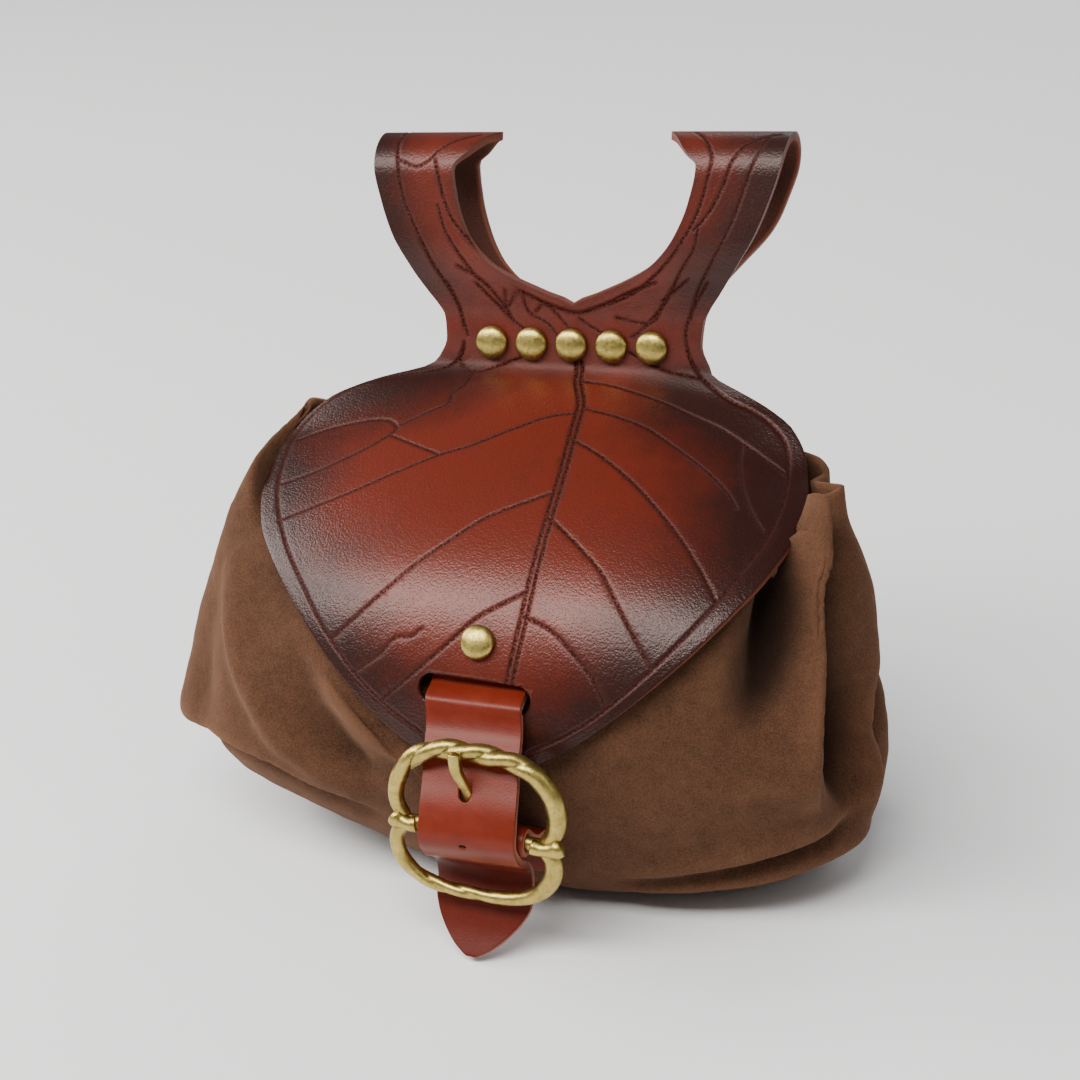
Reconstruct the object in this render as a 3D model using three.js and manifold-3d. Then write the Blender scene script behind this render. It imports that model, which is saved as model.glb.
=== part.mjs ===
// A leather and suede waist bag: a soft pouch under a leaf-shaped leather flap whose yoke rises into
// two folded belt loops, closed in front by a strap and a double buckle.
// Millimetres, +Z up, the front of the bag towards -Y, resting on its soft flattened bottom at z = 0.
import * as THREE from 'three';
import { mergeVertices } from 'three/addons/utils/BufferGeometryUtils.js';
import Module from 'manifold-3d';

const wasm = await Module();
wasm.setup();

// ---------------------------------------------------------------- driving sizes
const GAP = 0.3; // air left between pieces that touch
const LEATHER = 2.2; // wall of the flap, yoke and loops
const STRAP_LEATHER = 2.0; // wall of the closing strap
const CHAPE_LEATHER = 1.6; // wall of the short strap that holds the buckle
const SUEDE = 1.8; // wall of the pouch

const CREASE_Y = 38; // where the flap bends forward below the yoke
const CREASE_Z = 122;
const RIVET_ROW = 5.5; // the yoke rivets, above the crease
const RIVET_PITCH = 11;
const CAP_R = 4.4;
const CAP_RISE = 2.9;
const SHANK_R = 1.5;
const BURR_R = 4.0;
const BURR_T = 1.0;

const LOOP_LEAN = 18; // degrees that the belt loops lean back
const YOKE_LEAN = 12; // degrees that the yoke leans back where the rivets clamp it
const CLAMP = 10.5; // the yoke and the back leaves lie flat together up to here, above the crease
const LOOP_R = 11.2; // radius of the fold at the top of a loop
const LOOP_REACH = 39; // from the top of the clamp to the centre of that fold
const SANDWICH = LEATHER + SUEDE + LEATHER + 3 * GAP; // yoke, suede and back leaf at the rivets
const NOTCH = 16; // the V between the two horns, above the crease

const STRAP_W = 25;
const FLAP_RIVET_V = 90;
const SLOT_V = 103;
const SLOT_W = 29.6;
const SLOT_H = 7.6;

const BAR_R = 1.8; // centre bar of the buckle
const HOOP_R = 2.1; // thick upper hoop
const LOWER_R = 1.7; // thinner lower hoop
const PRONG_R = 1.3;

const rad = (degrees) => (degrees * Math.PI) / 180;
const clamp01 = (x) => Math.min(1, Math.max(0, x));
const smooth = (x) => clamp01(x) * clamp01(x) * (3 - 2 * clamp01(x));
const lerp = (a, b, t) => a + (b - a) * t;

// Reads a column of a table of rows at a position along its key column, smoothly between the rows.
function column(table, key, name, at) {
  const last = table.length - 1;
  if (at <= table[0][key]) return table[0][name];
  if (at >= table[last][key]) return table[last][name];
  let i = 0;
  while (table[i + 1][key] < at) i += 1;
  const slope = (k) => {
    if (k === 0 || k === last) return 0;
    const before = (table[k][name] - table[k - 1][name]) / (table[k][key] - table[k - 1][key]);
    const after = (table[k + 1][name] - table[k][name]) / (table[k + 1][key] - table[k][key]);
    return before * after > 0 ? (2 * before * after) / (before + after) : 0;
  };
  const span = table[i + 1][key] - table[i][key];
  const t = (at - table[i][key]) / span;
  const inner = (k) => slope(k) * span;
  const a = table[i][name];
  const b = table[i + 1][name];
  const first = i === 0 ? b - a : inner(i);
  const second = i + 1 === last ? b - a : inner(i + 1);
  return (
    a * (2 * t ** 3 - 3 * t ** 2 + 1) + first * (t ** 3 - 2 * t ** 2 + t) +
    b * (3 * t ** 2 - 2 * t ** 3) + second * (t ** 3 - t ** 2)
  );
}

// ---------------------------------------------------------------- solids from surfaces
// A surface is a list of points and a list of triangles that face outwards.
function newSurface() {
  return { points: [], faces: [], places: new Map() };
}

function pointOf(surface, p) {
  const key = `${p.x.toFixed(3)} ${p.y.toFixed(3)} ${p.z.toFixed(3)}`;
  if (!surface.places.has(key)) {
    surface.places.set(key, surface.points.length);
    surface.points.push(p.clone());
  }
  return surface.places.get(key);
}

function addFace(surface, a, b, c) {
  if (a !== b && b !== c && c !== a) surface.faces.push([a, b, c]);
}

// Adds the grid place(i, j), i from 0 to rows and j from 0 to columns.
function addGrid(surface, rows, columns, place, flip = false) {
  const at = [];
  for (let i = 0; i <= rows; i += 1) {
    at.push([]);
    for (let j = 0; j <= columns; j += 1) at[i].push(pointOf(surface, place(i, j)));
  }
  for (let i = 0; i < rows; i += 1) {
    for (let j = 0; j < columns; j += 1) {
      const [a, b, c, d] = [at[i][j], at[i][j + 1], at[i + 1][j + 1], at[i + 1][j]];
      if (flip) {
        addFace(surface, a, c, b);
        addFace(surface, a, d, c);
      } else {
        addFace(surface, a, b, c);
        addFace(surface, a, c, d);
      }
    }
  }
}

function vertexNormals(surface) {
  const normals = surface.points.map(() => new THREE.Vector3());
  for (const [a, b, c] of surface.faces) {
    const u = surface.points[b].clone().sub(surface.points[a]);
    const v = surface.points[c].clone().sub(surface.points[a]);
    const n = u.cross(v);
    for (const k of [a, b, c]) normals[k].add(n);
  }
  return normals.map((n) => n.normalize());
}

// Gives an open surface a wall behind it and closes the wall's edges.
function thicken(surface, thickness) {
  const normals = vertexNormals(surface);
  const count = surface.points.length;
  const points = surface.points.map((p) => p.clone());
  for (let k = 0; k < count; k += 1) {
    points.push(surface.points[k].clone().addScaledVector(normals[k], -thickness));
  }
  const faces = [];
  const edges = new Map();
  for (const [a, b, c] of surface.faces) {
    faces.push([a, b, c], [a + count, c + count, b + count]);
    for (const [p, q] of [[a, b], [b, c], [c, a]]) edges.set(`${p} ${q}`, [p, q]);
  }
  for (const [p, q] of edges.values()) {
    if (!edges.has(`${q} ${p}`)) faces.push([q, p, p + count], [q, p + count, q + count]);
  }
  return geometryOf(points, faces);
}

function geometryOf(points, faces) {
  const geometry = new THREE.BufferGeometry();
  const values = points.flatMap((p) => [p.x, p.y, p.z]);
  geometry.setAttribute('position', new THREE.Float32BufferAttribute(values, 3));
  geometry.setIndex(faces.flat());
  return geometry;
}

function toManifold(geometry) {
  const plain = geometry.clone();
  plain.deleteAttribute('normal');
  plain.deleteAttribute('uv');
  const merged = mergeVertices(plain, 1e-4);
  const vertProperties = new Float32Array(merged.attributes.position.array);
  const triVerts = new Uint32Array(merged.index.array);
  return new wasm.Manifold(new wasm.Mesh({ numProp: 3, vertProperties, triVerts }));
}

function fromManifold(solid) {
  const mesh = solid.getMesh();
  const geometry = new THREE.BufferGeometry();
  const positions = new Float32Array(mesh.numVert * 3);
  for (let i = 0; i < mesh.numVert; i += 1) {
    for (let k = 0; k < 3; k += 1) positions[3 * i + k] = mesh.vertProperties[mesh.numProp * i + k];
  }
  geometry.setAttribute('position', new THREE.BufferAttribute(positions, 3));
  geometry.setIndex(new THREE.BufferAttribute(new Uint32Array(mesh.triVerts), 1));
  return geometry;
}

const joined = (parts) => fromManifold(parts.map(toManifold).reduce((a, b) => a.add(b)));
const cut = (body, tools) => fromManifold(tools.map(toManifold).reduce((a, b) => a.subtract(b), toManifold(body)));

// A round bar along a list of points, with a radius for each, closed at both ends.
function barAlong(points, radii, sides = 10) {
  const surface = newSurface();
  const rings = points.map((p, i) => {
    const ahead = points[Math.min(i + 1, points.length - 1)];
    const behind = points[Math.max(i - 1, 0)];
    const along = ahead.clone().sub(behind).normalize();
    const side = new THREE.Vector3(1, 0, 0);
    if (Math.abs(along.x) > 0.9) side.set(0, 1, 0);
    return { p, along, side, radius: radii[i] };
  });
  let across = null;
  for (const ring of rings) {
    const start = across ?? ring.side;
    across = start.clone().addScaledVector(ring.along, -start.dot(ring.along)).normalize();
    ring.u = across.clone();
    ring.v = ring.along.clone().cross(across);
  }
  const place = (i, j) => {
    const { p, u, v, radius } = rings[i];
    const angle = (2 * Math.PI * (j % sides)) / sides;
    return p.clone().addScaledVector(u, radius * Math.cos(angle)).addScaledVector(v, radius * Math.sin(angle));
  };
  addGrid(surface, rings.length - 1, sides, place);
  for (const [ring, flip] of [[0, true], [rings.length - 1, false]]) {
    const centre = pointOf(surface, rings[ring].p);
    for (let j = 0; j < sides; j += 1) {
      const a = pointOf(surface, place(ring, j));
      const b = pointOf(surface, place(ring, j + 1));
      if (flip) addFace(surface, centre, b, a);
      else addFace(surface, centre, a, b);
    }
  }
  return geometryOf(surface.points, surface.faces);
}

// ---------------------------------------------------------------- side profile of the leather
// v runs down the flap from the crease; dip is how far the leather heads below the horizontal there.
const FLAP_PROFILE = [
  { v: 0, dip: 48 },
  { v: 3, dip: 22 },
  { v: 8, dip: 17 },
  { v: 40, dip: 24 },
  { v: 62, dip: 32 },
  { v: 80, dip: 48 },
  { v: 94, dip: 62 },
  { v: 108, dip: 74 },
  { v: 126, dip: 84 },
];

const STEP = 0.5;
const flapLine = [{ y: CREASE_Y, z: CREASE_Z }];
for (let v = 0; v < 130; v += STEP) {
  const dip = rad(column(FLAP_PROFILE, 'v', 'dip', v));
  const from = flapLine[flapLine.length - 1];
  flapLine.push({ y: from.y - STEP * Math.cos(dip), z: from.z - STEP * Math.sin(dip) });
}

// The grain side of the leather in the middle plane: its place, the way up along it, the way out of it.
function flapFrame(v) {
  const i = Math.min(flapLine.length - 2, Math.floor(v / STEP));
  const t = v / STEP - i;
  const dip = rad(column(FLAP_PROFILE, 'v', 'dip', v));
  return {
    y: lerp(flapLine[i].y, flapLine[i + 1].y, t),
    z: lerp(flapLine[i].z, flapLine[i + 1].z, t),
    up: [Math.cos(dip), Math.sin(dip)],
    out: [-Math.sin(dip), Math.cos(dip)],
  };
}

// A loop seen from the side is a teardrop. Half of its thickness, rise measured up from the clamp.
const LOOP_SHAPE = [
  { rise: 0, half: SANDWICH / 2 },
  { rise: 2, half: SANDWICH / 2 + 0.3 },
  { rise: 7, half: 5.8 },
  { rise: 14, half: 8.6 },
  { rise: 24, half: 10.6 },
  { rise: LOOP_REACH, half: LOOP_R },
];

// Points from the crease up the front leaf, over the fold and down the back leaf to the crease again.
function loopPath() {
  const yoke = [Math.sin(rad(YOKE_LEAN)), Math.cos(rad(YOKE_LEAN))];
  const axis = [Math.sin(rad(LOOP_LEAN)), Math.cos(rad(LOOP_LEAN))];
  const clampY = CREASE_Y + CLAMP * yoke[0];
  const clampZ = CREASE_Z + CLAMP * yoke[1];
  const middle = [clampY + (SANDWICH / 2) * yoke[1], clampZ - (SANDWICH / 2) * yoke[0]];
  const at = (rise, back) => ({
    y: middle[0] + rise * axis[0] + back * axis[1],
    z: middle[1] + rise * axis[1] - back * axis[0],
  });
  const path = [{ y: CREASE_Y, z: CREASE_Z }];
  for (let rise = 0; rise < LOOP_REACH; rise += 1) path.push(at(rise, -column(LOOP_SHAPE, 'rise', 'half', rise)));
  for (let a = 0; a <= 180; a += 6) {
    path.push(at(LOOP_REACH + LOOP_R * Math.sin(rad(a)), -LOOP_R * Math.cos(rad(a))));
  }
  for (let rise = LOOP_REACH - 1; rise >= 0; rise -= 1) path.push(at(rise, column(LOOP_SHAPE, 'rise', 'half', rise)));
  path.push({ y: CREASE_Y + SANDWICH * yoke[1], z: CREASE_Z - SANDWICH * yoke[0] });
  return path;
}

const loopLine = loopPath();
const loopAlong = [0];
for (let i = 1; i < loopLine.length; i += 1) {
  const step = Math.hypot(loopLine[i].y - loopLine[i - 1].y, loopLine[i].z - loopLine[i - 1].z);
  loopAlong.push(loopAlong[i - 1] + step);
}
const LOOP_LENGTH = loopAlong[loopAlong.length - 1];
const APEX = LOOP_LENGTH / 2; // the middle of the fold, measured up from the crease

function onLoop(w) {
  let i = 0;
  while (i < loopAlong.length - 2 && loopAlong[i + 1] < w) i += 1;
  const t = (w - loopAlong[i]) / (loopAlong[i + 1] - loopAlong[i]);
  return { y: lerp(loopLine[i].y, loopLine[i + 1].y, t), z: lerp(loopLine[i].z, loopLine[i + 1].z, t) };
}

// w runs up from the crease over the fold and down the back leaf.
function loopFrame(w) {
  const { y, z } = onLoop(w);
  const ahead = onLoop(Math.min(LOOP_LENGTH, w + 0.8));
  const behind = onLoop(Math.max(0, w - 0.8));
  const length = Math.hypot(ahead.y - behind.y, ahead.z - behind.z);
  const up = [(ahead.y - behind.y) / length, (ahead.z - behind.z) / length];
  return { y, z, up, out: [-up[1], up[0]] };
}

// ---------------------------------------------------------------- the leather piece, laid flat
// Half widths of the leaf-shaped flap, v down from the crease.
const FLAP_OUTLINE = [
  { v: 0, half: 37.5 },
  { v: 2, half: 40.5 },
  { v: 4, half: 45 },
  { v: 6.5, half: 51 },
  { v: 9, half: 56.5 },
  { v: 13, half: 63.5 },
  { v: 20, half: 69.5 },
  { v: 32, half: 72.9 },
  { v: 44, half: 72.6 },
  { v: 58, half: 69 },
  { v: 72, half: 62 },
  { v: 84, half: 54 },
  { v: 96, half: 44 },
  { v: 106, half: 34 },
  { v: 114, half: 24 },
  { v: 119, half: 15.5 },
  { v: 122, half: 6 },
];
const FLAP_END = 122;
// Outer and inner edges of one horn, w up from the crease to the middle of the fold.
const HORN_OUTLINE = [
  { w: 0, outer: 37.5, inner: 0 },
  { w: 6, outer: 35, inner: 0 },
  { w: 12, outer: 35.5, inner: 0 },
  { w: NOTCH, outer: 37.5, inner: 0 },
  { w: 19, outer: 39.5, inner: 6.5 },
  { w: 23, outer: 42, inner: 15 },
  { w: 28, outer: 45, inner: 22.5 },
  { w: 35, outer: 49, inner: 28 },
  { w: 44, outer: 52.5, inner: 31.5 },
  { w: 53, outer: 55, inner: 33 },
  { w: 58, outer: 55.5, inner: 29 },
  { w: APEX, outer: 56, inner: 23 },
];
const BACK_INNER_MIN = 6.5; // the two back leaves stay this far from the middle
const BACK_END = LOOP_LENGTH; // the back leaves end just under the rivet row

function hornEdges(w) {
  const mirrored = w <= APEX ? w : LOOP_LENGTH - w;
  const outer = column(HORN_OUTLINE, 'w', 'outer', mirrored);
  const inner = column(HORN_OUTLINE, 'w', 'inner', mirrored);
  return { outer, inner: w <= APEX ? inner : Math.max(inner, BACK_INNER_MIN) };
}

// The leather sits a little askew, level at the loops and turned at the tip.
const TURN_TOP = 3.2;
const TURN_TIP = -3;
const FLAP_SHIFT = -2.4; // the flap's middle lies a little to the left
const TIP_SHIFT = 1.2; // and its tip a little less so
const DRAPE_R = 260; // how the flap's sides bend down over the pouch

// The way along which the leather sits askew: along itself on the flap, up the yoke above the crease.
function skewWay(v, up) {
  const t = smooth(v / 9);
  const axis = [Math.sin(rad(YOKE_LEAN)), Math.cos(rad(YOKE_LEAN))];
  return [lerp(axis[0], up[0], t), lerp(axis[1], up[1], t)];
}

// From flat leather to its place in the bag: u across, v down from the crease (negative is up).
function leatherPoint(u, v, lift = 0) {
  const frame = v >= 0 ? flapFrame(v) : loopFrame(-v);
  const [outY, outZ] = frame.out;
  const turn = rad(lerp(TURN_TIP, TURN_TOP, clamp01((FLAP_END - v) / (FLAP_END + 30))));
  const [wayY, wayZ] = skewWay(v, frame.up);
  const radius = DRAPE_R / Math.max(0.02, smooth((v + 4) / 30));
  const x = radius * Math.sin(u / radius);
  const drop = radius * (1 - Math.cos(u / radius)) - lift;
  const skew = x * Math.sin(turn);
  const shift = FLAP_SHIFT * smooth((v + 2) / 30) + TIP_SHIFT * smooth((v - 55) / 35);
  return new THREE.Vector3(
    shift + x * Math.cos(turn),
    frame.y + skew * wayY - drop * outY,
    frame.z + skew * wayZ - drop * outZ,
  );
}

// The leather's own axes at a place on it.
function leatherAxes(u, v) {
  const across = leatherPoint(u + 0.1, v).sub(leatherPoint(u - 0.1, v)).normalize();
  const down = leatherPoint(u, v + 0.1).sub(leatherPoint(u, v - 0.1)).normalize();
  return { across, down, out: down.clone().cross(across).normalize() };
}

const HALF_COLUMNS = 6;
const FLAP_ROWS = [0, 1.5, 3, 5, 8, 13, 20, 29, 39, 49, 59, 69, 78, 87, 95, 102, 108, 113, 117, 120, 122];
const YOKE_ROWS = [0, 3, 6, 9, 12.5, NOTCH];
const HORN_STEPS = 36;

function leatherPiece() {
  const surface = newSurface();
  for (const side of [-1, 1]) {
    addGrid(surface, FLAP_ROWS.length - 1, HALF_COLUMNS, (i, j) => {
      const v = FLAP_ROWS[i];
      const half = column(FLAP_OUTLINE, 'v', 'half', v);
      return leatherPoint((side * half * j) / HALF_COLUMNS, v);
    }, side > 0);
    addGrid(surface, YOKE_ROWS.length - 1, HALF_COLUMNS, (i, j) => {
      const w = YOKE_ROWS[i];
      return leatherPoint((side * hornEdges(w).outer * j) / HALF_COLUMNS, -w);
    }, side < 0);
    addGrid(surface, HORN_STEPS, HALF_COLUMNS, (i, j) => {
      const w = lerp(NOTCH, BACK_END, i / HORN_STEPS);
      const { outer, inner } = hornEdges(w);
      return leatherPoint(side * lerp(inner, outer, j / HALF_COLUMNS), -w);
    }, side < 0);
  }
  return thicken(surface, LEATHER);
}

// ---------------------------------------------------------------- rivets
// A rivet's profile about its axis: burr at the back, shank, domed cap in front.
function rivetSolid(grip) {
  const dome = [];
  const steps = 6;
  for (let i = 0; i <= steps; i += 1) {
    const a = (Math.PI / 2) * (i / steps);
    dome.push([CAP_R * Math.cos(a), 0.5 + (CAP_RISE - 0.5) * Math.sin(a)]);
  }
  const profile = [
    [0, -grip - BURR_T],
    [BURR_R - 0.4, -grip - BURR_T],
    [BURR_R, -grip - BURR_T + 0.4],
    [BURR_R, -grip],
    [SHANK_R, -grip],
    [SHANK_R, 0],
    [CAP_R, 0],
    ...dome,
  ];
  profile[profile.length - 1][0] = 0;
  const points = profile.map(([r, h]) => new THREE.Vector2(r, h));
  return new THREE.LatheGeometry(points, 20);
}

function placeOn(geometry, origin, axes) {
  const matrix = new THREE.Matrix4().makeBasis(axes.across, axes.out, axes.across.clone().cross(axes.out));
  matrix.setPosition(origin);
  return geometry.applyMatrix4(matrix);
}

const yokeRivetPlaces = [-2, -1, 0, 1, 2].map((k) => ({ u: k * RIVET_PITCH, v: -RIVET_ROW }));

function rivetAt({ u, v }, grip) {
  const axes = leatherAxes(u, v);
  const seat = leatherPoint(u, v).addScaledVector(axes.out, GAP + 0.1);
  return placeOn(rivetSolid(grip + 2 * GAP + 0.2), seat, axes);
}

function shankHole({ u, v }, depth = 14) {
  const axes = leatherAxes(u, v);
  const hole = new THREE.CylinderGeometry(SHANK_R + GAP, SHANK_R + GAP, 2 * depth, 12);
  return placeOn(hole, leatherPoint(u, v), axes);
}

// ---------------------------------------------------------------- the pouch
// Level rings of the pouch from the floor up: height, half width, its middle across, front and back
// edge, how square it is, and how far its front left corner is drawn back.
const POUCH_RINGS = [
  { z: 0, half: 50, across: 10, front: -16, back: 32, square: 2.2, tuck: 12 },
  { z: 3, half: 62, across: 9.5, front: -26.5, back: 40, square: 2.3, tuck: 11 },
  { z: 10, half: 76, across: 6, front: -34.5, back: 45, square: 2.4, tuck: 9 },
  { z: 22, half: 90, across: -1.5, front: -40.5, back: 48.5, square: 2.4, tuck: 5 },
  { z: 38, half: 95, across: -4, front: -44, back: 50, square: 2.4, tuck: 1 },
  { z: 54, half: 93, across: -3.5, front: -44, back: 50, square: 2.3, tuck: 0 },
  { z: 70, half: 88.5, across: -2, front: -40.5, back: 48.5, square: 2.3, tuck: 0 },
  { z: 84, half: 84, across: -0.5, front: -35, back: 46.5, square: 2.3, tuck: 0 },
  { z: 95, half: 78, across: 0, front: -28, back: 45, square: 2.4, tuck: 0 },
  { z: 103, half: 75, across: 1, front: -21, back: 44.5, square: 2.5, tuck: 0 },
];
const MOUTH_Z = POUCH_RINGS[POUCH_RINGS.length - 1].z;
// Height of the mouth's edge around: low under the flap, high at both gathered corners
// and at the back, where it rises between the yoke and the back leaves.
const MOUTH_EDGE = [
  { at: -90, z: 86 },
  { at: -50, z: 91 },
  { at: -34, z: 94 },
  { at: -22, z: 96 },
  { at: -12, z: 97 },
  { at: 0, z: 102 },
  { at: 12, z: 107 },
  { at: 28, z: 102 },
  { at: 45, z: 100 },
  { at: 60, z: 103 },
  { at: 65, z: 110 },
  { at: 70, z: 121 },
  { at: 75, z: 130 },
  { at: 90, z: 131 },
  { at: 105, z: 130 },
  { at: 110, z: 121 },
  { at: 115, z: 111 },
  { at: 120, z: 106 },
  { at: 135, z: 105 },
  { at: 150, z: 110 },
  { at: 160, z: 113 },
  { at: 172, z: 112 },
  { at: 186, z: 109 },
  { at: 200, z: 102 },
  { at: 225, z: 93 },
  { at: 270, z: 86 },
];
// Gathered folds that run up the pouch: where around (0 is +X, 90 the back), how deep, how wide,
// and between which heights they show (share of the way up).
const FOLDS = [
  { at: -34, depth: 3, wide: 9, low: 0.35, high: 1.2 },
  { at: -23, depth: -4, wide: 6, low: 0.3, high: 1.2 },
  { at: -12, depth: 4, wide: 5, low: 0.15, high: 1.2 },
  { at: -2, depth: -4, wide: 5, low: 0.2, high: 1.2 },
  { at: 9, depth: 3, wide: 6, low: 0.2, high: 1.2 },
  { at: 20, depth: -3, wide: 6, low: 0.2, high: 1.2 },
  { at: 166, depth: 4, wide: 6, low: 0.3, high: 1.2 },
  { at: 177, depth: -4, wide: 6, low: 0.3, high: 1.2 },
  { at: 188, depth: 3.5, wide: 6, low: 0.2, high: 1.2 },
  { at: 199, depth: -3.5, wide: 7, low: 0.3, high: 1.2 },
  { at: 214, depth: 3, wide: 9, low: 0.4, high: 1.2 },
];
const CLAMPED_HALF = 46; // the suede lies flat behind the yoke out to here
const SUEDE_BEHIND = CREASE_Y + (LEATHER + 1.5 * GAP + SUEDE) / Math.cos(rad(YOKE_LEAN));
const AROUND = 72;
const LEVELS = 13;

function ringPoint(angle, z) {
  const half = column(POUCH_RINGS, 'z', 'half', z);
  const front = column(POUCH_RINGS, 'z', 'front', z);
  const back = column(POUCH_RINGS, 'z', 'back', z);
  const across = column(POUCH_RINGS, 'z', 'across', z);
  const power = 2 / column(POUCH_RINGS, 'z', 'square', z);
  const c = Math.cos(rad(angle));
  const s = Math.sin(rad(angle));
  const middle = (front + back) / 2;
  const depth = (back - front) / 2;
  const x = across + half * Math.sign(c) * Math.abs(c) ** power;
  const tuck = column(POUCH_RINGS, 'z', 'tuck', z) * smooth(-x / 65) * smooth(0.5 - s);
  const y = middle + depth * Math.sign(s) * Math.abs(s) ** power + tuck;
  return new THREE.Vector3(x, y, z);
}

// How high the suede may reach under the flap at a place seen from above.
function underFlap(x, y) {
  let v = 0;
  while (v < FLAP_END - 1 && leatherPoint(x, v).y > y) v += 1;
  if (Math.abs(x - FLAP_SHIFT) > column(FLAP_OUTLINE, 'v', 'half', v) + 4) return Infinity;
  const dip = rad(column(FLAP_PROFILE, 'v', 'dip', v));
  const strap = (STRAP_LEATHER + 3 * GAP) * smooth((18 - Math.abs(x - STRAP_X)) / 4) * smooth((v - 74) / 6);
  return leatherPoint(x, v).z - (LEATHER + GAP + strap) / Math.cos(Math.min(dip, 1)) - 0.9;
}

function pouchPoint(angle, share) {
  const p = ringPoint(angle, MOUTH_Z * share);
  const ahead = ringPoint(angle + 1, p.z).sub(ringPoint(angle - 1, p.z));
  const outward = new THREE.Vector3(ahead.y, -ahead.x, 0).normalize();
  for (const fold of FOLDS) {
    const away = ((angle - fold.at + 540) % 360) - 180;
    const here = Math.exp(-((away / fold.wide) ** 2));
    const shown = smooth((share - fold.low) / 0.4) * smooth((fold.high - share) / 0.2);
    p.addScaledVector(outward, fold.depth * here * shown);
  }
  const around = angle > 270 ? angle - 360 : angle;
  p.z += (column(MOUTH_EDGE, 'at', 'z', around) - MOUTH_Z) * smooth((share - 0.45) / 0.55);
  if (Math.abs(p.x) < CLAMPED_HALF && p.y > CREASE_Y - 8) {
    const clampedY = SUEDE_BEHIND + (p.z - CREASE_Z) * Math.tan(rad(YOKE_LEAN));
    p.y = lerp(p.y, clampedY, smooth((p.z - 92) / 10) * smooth((CLAMPED_HALF - Math.abs(p.x)) / 4));
  } else if (p.y < CREASE_Y + 3) {
    p.z = Math.min(p.z, underFlap(p.x, p.y));
  }
  return p;
}

// Heights of the rows, closer together where the bottom turns up.
const levelShare = (i) => {
  const t = i / LEVELS;
  return lerp(t * t, t, 0.35);
};

function pouchSurface() {
  const surface = newSurface();
  const angleOf = (j) => (360 * (j % AROUND)) / AROUND;
  addGrid(surface, LEVELS, AROUND, (i, j) => pouchPoint(angleOf(j), levelShare(i)));
  const middle = new THREE.Vector3(0, 8, 0);
  addGrid(surface, 2, AROUND, (i, j) => {
    const rim = pouchPoint(angleOf(j), 0);
    return middle.clone().lerp(rim, i / 2);
  });
  return surface;
}

// ---------------------------------------------------------------- closing strap and buckle
// The buckle's hoops and bars across the middle plane: y and z of each.
const UPPER_BAR = { y: -57, z: 58 };
const CENTRE_BAR = { y: -58.5, z: 36 };
const LOWER_BAR = { y: -57.5, z: 18 };
const TIP = { y: -63, z: 1.5 };
const STRAP_X = -1; // the strap lies a little to one side of the middle
const STRAP_DRIFT = 3.8; // and drifts to the right on its way to the buckle
const STRAP_TURN = -4; // degrees that the strap and buckle sit askew

// The strap's outer face in the middle plane, from its riveted end under the flap to its tip.
function strapLine() {
  const beside = (v, lift) => {
    const { y, z, out } = flapFrame(v);
    return [y + lift * out[0], z + lift * out[1]];
  };
  const under = -(LEATHER + 3 * GAP);
  const over = STRAP_LEATHER + GAP;
  const overBar = BAR_R + 2 * PRONG_R + STRAP_LEATHER + 2 * GAP;
  const points = [
    beside(82, under),
    beside(87, under),
    beside(92, under),
    beside(97, under),
    beside(SLOT_V - 2.8, under + 0.1),
    beside(SLOT_V + 1.8, over - 0.3),
    beside(109, over),
    beside(112, over + 0.5),
    [UPPER_BAR.y + 4, UPPER_BAR.z - 1],
    [UPPER_BAR.y + 0.4, UPPER_BAR.z - 6],
    [CENTRE_BAR.y - overBar + 2.4, CENTRE_BAR.z + 7.5],
    [CENTRE_BAR.y - overBar, CENTRE_BAR.z + 0.5],
    [CENTRE_BAR.y - overBar + 3.2, CENTRE_BAR.z - 5.5],
    [LOWER_BAR.y + LOWER_R + 1.1, LOWER_BAR.z + 6],
    [LOWER_BAR.y + LOWER_R + 1.5, LOWER_BAR.z - 1],
    [lerp(LOWER_BAR.y, TIP.y, 0.35) + 1.5, 9],
    [TIP.y, TIP.z],
  ];
  return new THREE.CatmullRomCurve3(points.map(([y, z]) => new THREE.Vector3(0, y, z)), false, 'centripetal');
}

// Half width of the strap, s back from its tip.
const STRAP_OUTLINE = [
  { s: 0, half: 1.2 },
  { s: 2, half: 4.2 },
  { s: 6, half: 8 },
  { s: 11, half: 11.2 },
  { s: 15, half: STRAP_W / 2 },
  { s: 500, half: STRAP_W / 2 },
];
const HOLE_R = 1.2;
const STRAP_ROWS = 46;
const STRAP_COLUMNS = 4;

const strapCurve = strapLine();
const strapLength = strapCurve.getLength();

// How far the strap has drifted sideways at a height.
const strapMiddle = (z) => STRAP_X + STRAP_DRIFT * smooth((75 - z) / 35) - 2 * smooth((20 - z) / 20);

// A place on the strap's outer face, s along it from the riveted end.
function strapPoint(x, s, lift = 0) {
  const t = clamp01(s / strapLength);
  const p = strapCurve.getPointAt(t);
  const tangent = strapCurve.getTangentAt(t);
  const out = new THREE.Vector3(0, tangent.z, -tangent.y);
  const turn = lerp(TURN_TIP, STRAP_TURN, smooth((75 - p.z) / 20));
  const skew = Math.sin(rad(turn)) * x;
  const middle = strapMiddle(p.z);
  return new THREE.Vector3(middle + x, p.y - tangent.y * skew + out.y * lift, p.z - tangent.z * skew + out.z * lift);
}

function strapSurface() {
  const surface = newSurface();
  addGrid(surface, STRAP_ROWS, STRAP_COLUMNS, (i, j) => {
    const s = (strapLength * i) / STRAP_ROWS;
    const half = column(STRAP_OUTLINE, 's', 'half', strapLength - s);
    return strapPoint(half * ((2 * j) / STRAP_COLUMNS - 1), s);
  }, true);
  return surface;
}

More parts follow.
